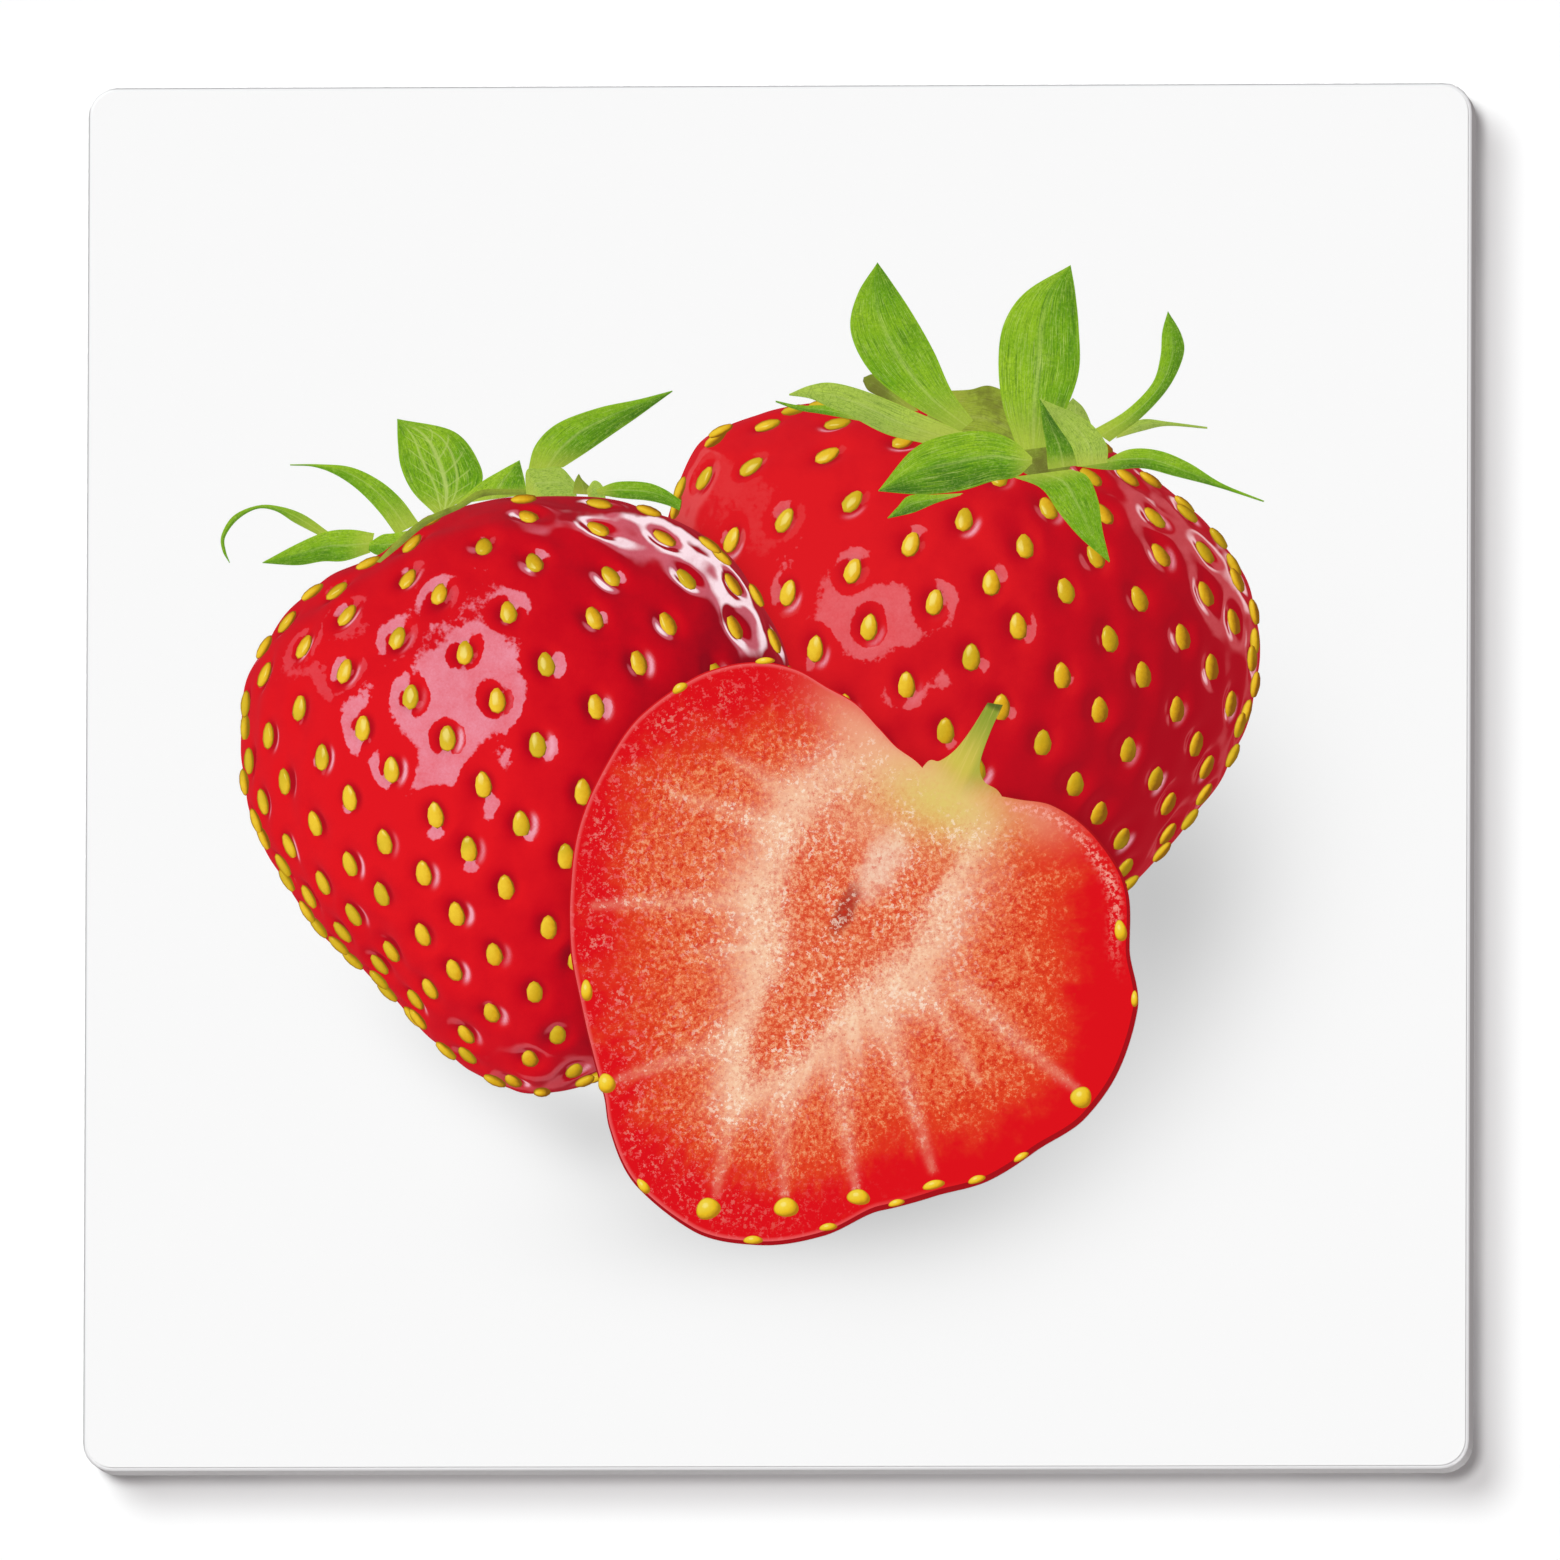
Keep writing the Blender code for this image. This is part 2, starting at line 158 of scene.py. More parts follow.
class Recipe:
    """One material's nodes, from its readings of the surface to its shader."""

    def __init__(self, name: str) -> None:
        """Start a material with an empty node tree."""
        self.material = bpy.data.materials.new(name)
        self.material.use_nodes = True
        self.tree = self.material.node_tree
        self.tree.nodes.clear()

    def node(self, kind: str, settings: dict[str, object], sockets: dict[int | str, Value]) -> bpy.types.Node:
        """Add any node.

        Args:
            kind: Blender's name of the node's type.
            settings: Its settings; "stops" fills a ramp with (place, colour) pairs.
            sockets: Values or wires for its inputs, by name or number.

        Returns:
            The node.
        """
        made = self.tree.nodes.new(kind)
        for name, value in settings.items():
            if name == "stops":
                self.fill_ramp(made.color_ramp, value)
            else:
                setattr(made, name, value)
        for name, value in sockets.items():
            target = made.inputs[name]
            if isinstance(value, Wire):
                self.tree.links.new(value.socket, target)
            elif isinstance(value, tuple) and target.type == "RGBA":
                target.default_value = (*value, 1.0)
            else:
                target.default_value = value
        return made

    @staticmethod
    def fill_ramp(ramp: bpy.types.ColorRamp, stops: list[tuple[float, Colour]]) -> None:
        """Give a ramp its stops."""
        while len(ramp.elements) < len(stops):
            ramp.elements.new(1.0)
        for element, (place, colour) in zip(ramp.elements, stops, strict=True):
            element.position = place
            element.color = (*colour, 1.0)

    def math(self, operation: str, first: Value, second: Value = 0.0) -> Wire:
        """One Math node."""
        made = self.node("ShaderNodeMath", {"operation": operation}, {0: first, 1: second})
        return Wire(self, made.outputs[0])

    def vector(self, operation: str, first: Value, second: Value) -> Wire:
        """One Vector Math node with a vector result."""
        made = self.node("ShaderNodeVectorMath", {"operation": operation}, {0: first, 1: second})
        return Wire(self, made.outputs[0])

    def scaled(self, vector: Wire, factor: float) -> Wire:
        """A vector times a number."""
        made = self.node("ShaderNodeVectorMath", {"operation": "SCALE"}, {0: vector, "Scale": factor})
        return Wire(self, made.outputs[0])

    def dot(self, first: Value, second: Value) -> Wire:
        """Dot product of two vectors."""
        made = self.node("ShaderNodeVectorMath", {"operation": "DOT_PRODUCT"}, {0: first, 1: second})
        return Wire(self, made.outputs[1])

    def split(self, vector: Wire) -> tuple[Wire, Wire, Wire]:
        """The three parts of a vector."""
        made = self.node("ShaderNodeSeparateXYZ", {}, {0: vector})
        return (Wire(self, made.outputs[0]), Wire(self, made.outputs[1]), Wire(self, made.outputs[2]))

    def join(self, first: Value, second: Value, third: Value) -> Wire:
        """A vector from its three parts."""
        return Wire(self, self.node("ShaderNodeCombineXYZ", {}, {0: first, 1: second, 2: third}).outputs[0])

    def place(self) -> Wire:
        """Where the surface is, in metres in the board's own frame."""
        return Wire(self, self.node("ShaderNodeTexCoord", {}, {}).outputs["Object"])

    def reading(self, name: str) -> Wire:
        """A vector that the mesh carries under a name."""
        return Wire(self, self.node("ShaderNodeAttribute", {"attribute_name": name}, {}).outputs["Vector"])

    def grain(self, where: Wire, scale: float, detail: float = 2.0, rough: float = 0.5) -> Wire:
        """Smooth noise from 0 to 1.

        Args:
            where: Place to read the noise at.
            scale: Waves in each unit of that place.
            detail: Finer layers added to the first.
            rough: How strong the finer layers are.

        Returns:
            The noise.
        """
        sockets = {"Vector": where, "Scale": scale, "Detail": detail, "Roughness": rough}
        return Wire(self, self.node("ShaderNodeTexNoise", {}, sockets).outputs[0])

    def cells(self, where: Wire, scale: float, feature: str) -> Wire:
        """Distance in a pattern of cells."""
        made = self.node("ShaderNodeTexVoronoi", {"feature": feature}, {"Vector": where, "Scale": scale})
        return Wire(self, made.outputs["Distance"])

    def ramp(self, share: Wire, stops: list[tuple[float, Colour]]) -> Wire:
        """Colour that changes along a share."""
        made = self.node("ShaderNodeValToRGB", {"stops": stops}, {0: share})
        return Wire(self, made.outputs[0])

    def mix(self, factor: Value, first: Value, second: Value, blend: str = "MIX") -> Wire:
        """Mix of two colours.

        Args:
            factor: Share of the second.
            first: Colour at 0.
            second: Colour at 1.
            blend: How the second lies on the first.

        Returns:
            The mixed colour.
        """
        settings = {"data_type": "RGBA", "blend_type": blend}
        made = self.node("ShaderNodeMix", settings, {0: factor, 6: first, 7: second})
        return Wire(self, made.outputs[2])

    def relief(self, height: Wire, distance: float, strength: float = 1.0) -> Wire:
        """Normal of a surface whose height varies."""
        sockets = {"Height": height, "Distance": distance, "Strength": strength}
        return Wire(self, self.node("ShaderNodeBump", {}, sockets).outputs[0])

    def finish(self, sockets: dict[int | str, Value]) -> bpy.types.Material:
        """End the material in a Principled shader with these inputs."""
        shader = self.node("ShaderNodeBsdfPrincipled", {}, sockets)
        self.node("ShaderNodeOutputMaterial", {}, {"Surface": Wire(self, shader.outputs[0])})
        return self.material


# ---------------------------------------------------------------- plain finishes


@dataclass(frozen=True)
class CoatedSteel:
    """White powder coat with a fine orange-peel surface, and painted shade along its left and top bends."""

    white: Colour = (0.83, 0.83, 0.835)
    shade: Colour = (0.79, 0.79, 0.80)
    # darker colour painted as shade on the left and top bends
    bend_shade: Colour = (0.52, 0.52, 0.53)
    shade_from: float = 0.1845       # painted shade darkens the left and top bends, from this far from the middle
    peel_per_metre: float = 900.0
    peel_height: float = 0.00003

    def material(self) -> bpy.types.Material:
        """Make the coat."""
        recipe = Recipe("coated_steel")
        where = recipe.place()
        cloud = recipe.grain(where, 14.0, 3.0)
        peel = recipe.grain(where, self.peel_per_metre, 2.0)
        across, depth, up = recipe.split(where)
        outermost = recipe.math("MAXIMUM", across * -1.0, up)
        # painted shade: a darker band along the left and top bends of the front
        shaded_bend = outermost.step(self.shade_from - 0.0002, self.shade_from + 0.0002) * depth.step(-0.0210, -0.0220)
        colour = recipe.mix(shaded_bend, recipe.mix(cloud, self.white, self.shade), self.bend_shade)
        return recipe.finish(
            {
                "Base Color": colour,
                "Roughness": 0.32 + cloud * 0.08,
                "Normal": recipe.relief(peel, self.peel_height),
                "Coat Weight": 0.15,
                "Coat Roughness": 0.2,
            }
        )


@dataclass(frozen=True)
class ZincPlate:
    """Zinc-plated sheet, with rolling lines and cloudy passivation."""

    pale: Colour = (0.66, 0.67, 0.68)
    dark: Colour = (0.50, 0.51, 0.53)
    warm: Colour = (0.68, 0.66, 0.58)
    lines_per_metre: float = 2600.0

    def material(self) -> bpy.types.Material:
        """Make the plating."""
        recipe = Recipe("zinc_plate")
        where = recipe.place()
        stretched = recipe.vector("MULTIPLY", where, (1.0, 1.0, 0.03))
        lines = recipe.grain(stretched, self.lines_per_metre, 3.0, 0.6)
        cloud = recipe.grain(where, 60.0, 4.0, 0.6)
        colour = recipe.mix(lines.step(0.35, 0.7), self.pale, self.dark)
        colour = recipe.mix(cloud.step(0.5, 0.75) * 0.5, colour, self.warm)
        return recipe.finish(
            {
                "Base Color": colour,
                "Metallic": 1.0,
                "Roughness": 0.30 + lines * 0.16 + cloud * 0.1,
                "Normal": recipe.relief(lines, 0.00002),
            }
        )


@dataclass(frozen=True)
class RivetMetal:
    """Bright rivet aluminium, dulled by the setting tool."""

    bright: Colour = (0.82, 0.82, 0.83)
    dull: Colour = (0.60, 0.60, 0.61)

    def material(self) -> bpy.types.Material:
        """Make the metal."""
        recipe = Recipe("rivet_metal")
        marks = recipe.grain(recipe.place(), 1400.0, 4.0, 0.65)
        return recipe.finish(
            {
                "Base Color": recipe.mix(marks.step(0.35, 0.7), self.bright, self.dull),
                "Metallic": 1.0,
                "Roughness": 0.22 + marks * 0.25,
                "Normal": recipe.relief(marks, 0.00003),
            }
        )


@dataclass(frozen=True)
class BumperRubber:
    """Dark moulded rubber, dusty on its high spots."""

    dark: Colour = (0.030, 0.030, 0.033)
    dusty: Colour = (0.085, 0.083, 0.080)

    def material(self) -> bpy.types.Material:
        """Make the rubber."""
        recipe = Recipe("bumper_rubber")
        where = recipe.place()
        dust = recipe.grain(where, 260.0, 5.0, 0.6)
        skin = recipe.grain(where, 3200.0, 2.0)
        return recipe.finish(
            {
                "Base Color": recipe.mix(dust.step(0.4, 0.75), self.dark, self.dusty),
                "Roughness": 0.62 + dust * 0.25,
                "Normal": recipe.relief(skin, 0.00004),
            }
        )


@dataclass(frozen=True)
class FoamTape:
    """Off-white closed-cell foam, with open cells along its cut edges."""

    pale: Colour = (0.72, 0.71, 0.67)
    shade: Colour = (0.52, 0.51, 0.47)

    def material(self) -> bpy.types.Material:
        """Make the foam."""
        recipe = Recipe("foam_tape")
        bubbles = recipe.cells(recipe.place(), 1800.0, "F1")
        return recipe.finish(
            {
                "Base Color": recipe.mix(bubbles.step(0.25, 0.7), self.shade, self.pale),
                "Roughness": 0.85 + bubbles * 0.1,
                "Normal": recipe.relief(bubbles, 0.0001),
            }
        )


# ---------------------------------------------------------------- printed inks

PRINT_GLOSS: dict[int | str, Value] = {"Roughness": 0.6, "Specular IOR Level": 0.015}


@dataclass(frozen=True)
class GlossPatch:
    """A lamp's window mirrored in wet skin, as a tilted box in the directions that the skin faces."""

    centre: Place2D
    half: Place2D
    turn: float
    soft: float
    strength: float
    colour: Colour
    corners: float = 3.0        # 2 makes an oval, more makes it squarer

    def mask(self, recipe: Recipe, right: Wire, up: Wire) -> Wire:
        """How much of the window each spot mirrors.

        Args:
            recipe: Material that it is part of; not used.
            right: How far the skin faces to the right.
            up: How far it faces up.

        Returns:
            Share from 0 to the patch's strength.
        """
        cosine, sine = math.cos(math.radians(self.turn)), math.sin(math.radians(self.turn))
        along = (right - self.centre[0]) * cosine + (up - self.centre[1]) * sine
        across = (up - self.centre[1]) * cosine - (right - self.centre[0]) * sine
        first, second = along.size() * (1.0 / self.half[0]), across.size() * (1.0 / self.half[1])
        outside = first**self.corners + second**self.corners
        return outside.step(1.0 + self.soft, 1.0 - self.soft) * self.strength


@dataclass(frozen=True)
class RimPatch:
    """Light that grazes the skin near its outline, over a sector of it."""

    towards: float          # middle of the sector, degrees from the right
    half_sector: float
    inner: float            # how far the skin has turned away where the band starts, 0 to 1
    outer: float
    strength: float
    colour: Colour

    def mask(self, recipe: Recipe, right: Wire, up: Wire) -> Wire:
        """How strongly each spot catches the grazing light.

        Args:
            recipe: Material that it is part of.
            right: How far the skin faces to the right.
            up: How far it faces up.

        Returns:
            Share from 0 to the patch's strength.
        """
        cosine, sine = math.cos(math.radians(self.towards)), math.sin(math.radians(self.towards))
        turned = recipe.math("SQRT", right * right + up * up)
        heading = (right * cosine + up * sine) / recipe.math("MAXIMUM", turned, 0.01)
        edge = math.cos(math.radians(self.half_sector))
        sector = heading.step(edge, edge + (1.0 - edge) * 0.45)
        band = turned.step(self.inner, self.inner + 0.05) * turned.step(self.outer, self.outer - 0.03)
        return sector * band * self.strength


@dataclass(frozen=True)
class SkinInk:
    """Red berry skin as it is printed: lit side, shaded side, dimples and mirrored lamps."""

    name: str
    light: tuple[float, float, float]
    deep: Colour
    red: Colour
    warm: Colour
    patches: tuple[GlossPatch | RimPatch, ...]
    sheen: Colour = ink(232, 84, 92)
    sheen_share: float = 0.22
    glint: Colour = ink(246, 176, 192)

    def material(self) -> bpy.types.Material:
        """Make the ink."""
        recipe = Recipe(self.name)
        where = recipe.place()
        facing = recipe.reading("form")
        dimple, shade, crescent = recipe.split(recipe.reading("seat"))
        _, _, out = recipe.split(facing)
        rough = recipe.node("ShaderNodeTexNoise", {}, {"Vector": where, "Scale": 700.0, "Detail": 3.0})
        wavy = recipe.node("ShaderNodeTexNoise", {}, {"Vector": where, "Scale": 120.0, "Detail": 2.0})
        jitter = recipe.vector("SUBTRACT", Wire(recipe, rough.outputs[1]), (0.5, 0.5, 0.5))
        drift = recipe.vector("SUBTRACT", Wire(recipe, wavy.outputs[1]), (0.5, 0.5, 0.5))
        turned = recipe.vector("ADD", facing, recipe.scaled(jitter, 0.16))
        turned = recipe.vector("ADD", turned, recipe.scaled(drift, 0.14))
        right, up, _ = recipe.split(turned)
        calm_right, calm_up, _ = recipe.split(recipe.vector("ADD", facing, recipe.scaled(drift, 0.12)))
        lit = recipe.dot(facing, tuple(Vector(self.light).normalized()))
        lit = lit + (recipe.grain(where, 60.0, 3.0) - 0.5) * 0.22
        blotch = recipe.grain(where, 260.0, 4.0, 0.7)
        lit = lit + (blotch - 0.5) * 0.25
        colour = recipe.ramp(lit, [(0.10, self.deep), (0.55, self.red), (0.95, self.warm)])
        colour = recipe.mix((1.0 - out) ** 3.0 * self.sheen_share, colour, self.sheen)
        colour = recipe.mix(dimple * 0.68, colour, self.deep)
        speckle = recipe.grain(where, 1500.0, 2.0, 0.7)
        pooled = recipe.grain(where, 150.0, 4.0, 0.65)
        for patch in self.patches:
            if isinstance(patch, RimPatch):
                share = patch.mask(recipe, calm_right, calm_up) * (0.35 + speckle * 0.3 + pooled)
            else:
                share = patch.mask(recipe, right, up) * (0.10 + speckle * 0.55 + pooled * 1.15)
            colour = recipe.mix(recipe.math("MINIMUM", share, 1.0), colour, patch.colour)
        ragged = crescent * (0.25 + blotch * 1.5)
        colour = recipe.mix(recipe.math("MINIMUM", ragged, 0.85), colour, self.glint)
        colour = recipe.mix(shade, colour, recipe.mix(1.0, colour, ink(150, 120, 130), "MULTIPLY"))
        return recipe.finish(PRINT_GLOSS | {"Base Color": colour})


@dataclass(frozen=True)
class SeedInk:
    """Yellow seeds, browner at their edges and on the shaded side."""

    name: str
    light: tuple[float, float, float]
    bright: Colour = ink(242, 202, 54)
    yellow: Colour = ink(216, 164, 26)
    brown: Colour = ink(132, 84, 16)
    tinted: float = 0.4             # how green the greener seeds are

    def material(self) -> bpy.types.Material:
        """Make the ink."""
        recipe = Recipe(self.name)
        where = recipe.place()
        facing = recipe.reading("form")
        _, _, out = recipe.split(facing)
        lit = recipe.dot(facing, tuple(Vector(self.light).normalized()))
        lit = lit + (recipe.grain(where, 900.0, 3.0) - 0.5) * 0.3
        colour = recipe.ramp(lit, [(0.05, self.brown), (0.55, self.yellow), (0.95, self.bright)])
        tint = recipe.grain(where, 70.0, 1.0).step(0.45, 0.65) * self.tinted
        colour = recipe.mix(tint, colour, ink(172, 156, 24))
        colour = recipe.mix(out.step(0.55, 0.05) * 0.8, colour, self.brown)
        spark = recipe.dot(facing, tuple(Vector((-0.25, 0.30, 0.92)).normalized())).step(0.93, 0.985)
        colour = recipe.mix(spark * 0.6, colour, ink(252, 236, 140))
        return recipe.finish(PRINT_GLOSS | {"Base Color": colour})


class SepalKind(Enum):
    """How a sepal looks: how strong its net of veins is, how far it has dried, and how pale it is."""

    PLAIN = (0.0, 0.0, 0.0)
    VEINED = (1.0, 0.0, 0.0)
    PALE = (0.0, 0.1, 0.45)
    DRY = (0.0, 0.9, 0.0)


@dataclass(frozen=True)
class LeafInk:
    """Green sepal, paler at its foot, with a soft midrib, long fine hairs and a net of veins."""

    name: str
    kind: SepalKind
    light: tuple[float, float, float] = (-0.4, 0.5, 0.76)
    dark: Colour = ink(58, 104, 28)
    green: Colour = ink(106, 160, 24)
    bright: Colour = ink(156, 197, 40)
    foot: Colour = ink(186, 196, 78)
    vein: Colour = ink(196, 214, 120)
    dried: Colour = ink(148, 142, 62)

    def material(self) -> bpy.types.Material:
        """Make the ink."""
        recipe = Recipe(self.name)
        where = recipe.place()
        facing = recipe.reading("form")
        veins, dryness, paleness = self.kind.value
        across, along, tone = recipe.split(recipe.reading("blade"))
        lit = recipe.dot(facing, tuple(Vector(self.light).normalized()))
        cloud = recipe.grain(where, 110.0, 5.0, 0.65)
        strands = recipe.grain(recipe.join(across * 26.0, along * 5.0, tone * 40.0), 1.0, 4.0, 0.7)
        fuzz = recipe.grain(where, 1300.0, 3.0, 0.7)
        lit = lit + (cloud - 0.5) * 0.65 + tone - along.step(0.5, 1.0) * 0.05
        colour = recipe.ramp(lit, [(0.20, self.dark), (0.62, self.green), (1.0, self.bright)])
        colour = recipe.mix(paleness, colour, ink(206, 220, 112))
        colour = recipe.mix(strands.step(0.52, 0.66) * 0.50, colour, self.bright)
        colour = recipe.mix(strands.step(0.48, 0.34) * 0.60, colour, self.dark)
        side = across.size()
        net = recipe.cells(where, 560.0, "DISTANCE_TO_EDGE").step(0.09, 0.0) * cloud.step(0.42, 0.62)
        colour = recipe.mix(net * 0.30, colour, self.dark)
        colour = recipe.mix(side.bump(0.0, 0.07) * along.step(1.0, 0.3) * 0.35, colour, self.vein)
        colour = recipe.mix(fuzz.step(0.52, 0.66) * 0.18, colour, self.vein)
        colour = recipe.mix(fuzz.step(0.47, 0.36) * 0.26, colour, self.dark)
        scratch = recipe.grain(recipe.join(across * 60.0 + cloud * 3.0, along * 9.0, tone * 40.0), 1.0, 2.0)
        colour = recipe.mix(scratch.step(0.60, 0.66) * 0.45, colour, self.vein)
        colour = recipe.mix(scratch.step(0.41, 0.36) * 0.50, colour, self.dark)
        colour = recipe.mix(along.step(0.30, 0.0) * 0.55, colour, self.foot)
        colour = recipe.mix(side.step(0.88, 1.0) * 0.30, colour, self.bright)
        if veins:
            bent = side - 0.36 + recipe.math("SINE", along * 7.0) * 0.06
            ribs = (bent.bump(0.0, 0.035) + side.bump(0.02, 0.035)) * along.step(1.0, 0.8)
            rungs = recipe.math("SINE", (along * 3.6 - side * 1.1 + across * 0.2) * (2.0 * math.pi)) ** 2.0
            rungs = (1.0 - rungs).step(0.93, 1.0) * side.step(0.8, 0.6) * along.step(0.95, 0.8)
            mesh = recipe.math("MINIMUM", ribs + rungs * 0.7, 1.0)
            colour = recipe.mix(mesh * veins * 0.52, colour, self.vein)
        if dryness:
            colour = recipe.mix(dryness * 0.6, colour, self.dried)
            colour = recipe.mix(cloud.step(0.55, 0.35) * dryness * 0.6, colour, ink(96, 92, 40))
        return recipe.finish(PRINT_GLOSS | {"Base Color": colour})


@dataclass(frozen=True)
class Blot:
    """One soft spot: centre and size in drawn millimetres, tilt in degrees, and how strong it is."""

    centre: Place2D
    size: Place2D
    turn: float
    strength: float

    def bell(self, recipe: Recipe, right: Wire, up: Wire) -> Wire:
        """How strongly the spot shows at each drawn place.

        Args:
            recipe: Material that it is part of.
            right: Drawn place to the right.
            up: Drawn place upwards.

        Returns:
            Share from 0 to the spot's strength.
        """
        cosine, sine = math.cos(math.radians(self.turn)), math.sin(math.radians(self.turn))
        across, above = right - self.centre[0], up - self.centre[1]
        first = (across * cosine + above * sine) * (1.0 / self.size[0])
        second = (above * cosine - across * sine) * (1.0 / self.size[1])
        return recipe.math("EXPONENT", (first * first + second * second) * -1.0) * self.strength


@dataclass(frozen=True)
class CutInk:
    """Cut face of a berry: red rim, orange flesh, pale fibres and a pale line round the pith."""

    scale: float
    rims: tuple[Blot, ...]          # where the red of the rim reaches further in
    pales: tuple[Blot, ...]         # pink shoulders and other pale spots
    stalk_glow: Blot
    heart: Blot
    crack: Blot
    stalk_foot: Place2D             # where the stalk's green begins, and its end
    stalk_end: Place2D
    name: str = "cut_face_ink"
    red: Colour = ink(220, 14, 24)
    orange: Colour = ink(226, 68, 32)
    peach: Colour = ink(233, 122, 74)
    ember: Colour = ink(212, 46, 24)
    cream: Colour = ink(249, 212, 178)
    pith: Colour = ink(228, 106, 66)
    blush: Colour = ink(239, 150, 100)
    wound: Colour = ink(166, 40, 30)
    lime: Colour = ink(222, 200, 104)
    green: Colour = ink(206, 190, 80)
    leafy: Colour = ink(138, 156, 52)
    glint: Colour = ink(254, 234, 212)
    wet: Colour = ink(238, 112, 112)

    def flesh(self, recipe: Recipe, where: Wire, right: Wire, up: Wire) -> Wire:
        """Colour of the flesh before its wet film.

        Args:
            recipe: The material.
            where: Place in metres.
            right: Drawn place to the right.
            up: Drawn place upwards.

        Returns:
            The colour.
        """
        beyond, edge, thread = recipe.split(recipe.reading("flesh"))
        round_x, round_y, _ = recipe.split(recipe.reading("fan"))
        cloud = recipe.grain(where, 70.0, 4.0, 0.6) - 0.5
        grit = recipe.grain(where, 1050.0, 3.0, 0.75)
        blur = recipe.grain(where, 330.0, 4.0, 0.7)
        strand = recipe.grain(recipe.join(round_x * 34.0, round_y * 34.0, beyond * 0.42), 1.0, 4.0, 0.72)
        outer = beyond.step(-1.0, 2.0)
        crumb = (strand * outer + grit * (1.0 - outer)) * 0.6 + grit * 0.4
        reach: Value = 0.0
        for blot in self.rims:
            reach = blot.bell(recipe, right, up) + reach
        rays = recipe.grain(recipe.join(round_x * 9.0, round_y * 9.0, beyond * 0.05), 1.0, 4.0, 0.7) - 0.5
        rimward = edge - reach * 13.0 + cloud * 12.0 + (blur - 0.5) * 14.0 + rays * 34.0 * outer
        colour = recipe.mix(rimward.step(-3.0, 18.0), self.red, self.orange)
        colour = recipe.mix(rimward.step(12.0, 32.0) * 0.55, colour, self.peach)
        loose = rimward.step(2.0, 22.0)
        colour = recipe.mix(crumb.step(0.485, 0.41) * loose * 0.90, colour, self.ember)
        colour = recipe.mix(crumb.step(0.52, 0.60) * loose * 0.55, colour, self.blush)
        colour = recipe.mix(grit.step(0.47, 0.40) * loose * 0.55, colour, self.ember)
        colour = recipe.mix(grit.step(0.55, 0.61) * loose * 0.45, colour, ink(245, 176, 128))
        threads = recipe.grain(recipe.reading("fan"), 6.5, 2.0, 0.6) + cloud * 0.1
        pale = threads.step(0.50, 0.66) * edge.step(9.0, 22.0) * beyond.step(22.0, 2.0) * 0.45
        pale = recipe.math("MAXIMUM", pale, thread * (0.1 + blur * 0.9) * (0.35 + crumb * 0.9))
        halo = (beyond + (strand - 0.5) * 24.0).step(16.0, -1.0)
        spread = recipe.math("MINIMUM", (pale * 0.9 + halo * 0.5) * (0.1 + crumb * 1.5), 0.92)
        colour = recipe.mix(spread, colour, self.cream)
        uneven = beyond + cloud * 6.0 + (blur - 0.5) * 6.0 + (strand - 0.5) * 13.0
        inside = recipe.mix(crumb.step(0.485, 0.41) * 0.70, self.pith, self.ember)
        inside = recipe.mix(crumb.step(0.51, 0.59) * 0.75, inside, ink(243, 172, 128))
        inside = recipe.mix(cloud.step(-0.1, 0.2) * 0.25, inside, self.peach)
        inward = (uneven + (crumb - 0.5) * 16.0).step(2.5, -12.0)
        colour = recipe.mix(inward, colour, inside)
        side = recipe.dot(recipe.reading("fan"), (-0.35, 0.94, 0.0)).size()
        line = uneven.bump(-1.6, 6.0) * (0.05 + crumb * 1.25) * (0.36 + side * 0.44)
        colour = recipe.mix(recipe.math("MINIMUM", line, 0.92), colour, self.cream)
        for blot in self.pales:
            share = blot.bell(recipe, right, up) * (0.6 + crumb * 0.7)
            colour = recipe.mix(recipe.math("MINIMUM", share, 1.0), colour, ink(241, 176, 142))
        heart = self.heart.bell(recipe, right, up) + (blur - 0.5) * 0.9
        colour = recipe.mix(heart.step(0.25, 1.0) * (0.1 + crumb * 1.4), colour, ink(244, 206, 180))
        crack = self.crack.bell(recipe, right, up) * (0.3 + blur * 1.6)
        colour = recipe.mix(crack.step(0.25, 0.9) * 0.78, colour, self.wound)
        return recipe.mix(self.stalk_glow.bell(recipe, right, up) * (0.6 + crumb * 0.6), colour, self.lime)

    def stalk(self, recipe: Recipe, right: Wire, up: Wire, colour: Wire) -> Wire:
        """Add the stalk's green over the flesh.

        Args:
            recipe: The material.
            right: Drawn place to the right.
            up: Drawn place upwards.
            colour: Colour of the flesh.

        Returns:
            The colour with the stalk.
        """
        span = Vector(self.stalk_end) - Vector(self.stalk_foot)
        across, above = right - self.stalk_foot[0], up - self.stalk_foot[1]
        length = span.length
        along = (across * (span.x / length) + above * (span.y / length)) * (1.0 / length)
        aside = (above * (span.x / length) - across * (span.y / length)) * -0.3
        grooves = recipe.grain(recipe.join(aside * 4.0, along * 1.5, 0.0), 1.0, 3.0)
        stem = recipe.mix(along.step(0.35, 0.95), self.green, self.leafy)
        stem = recipe.mix(grooves.step(0.48, 0.68) * 0.5, stem, self.lime)
        stem = recipe.mix(aside.step(0.2, 0.9) * 0.5, stem, self.leafy)
        stem = recipe.mix(along.step(0.93, 0.99) * 0.8, stem, ink(70, 84, 32))
        return recipe.mix((along + aside.size() * -0.05).step(0.02, 0.36), colour, stem)

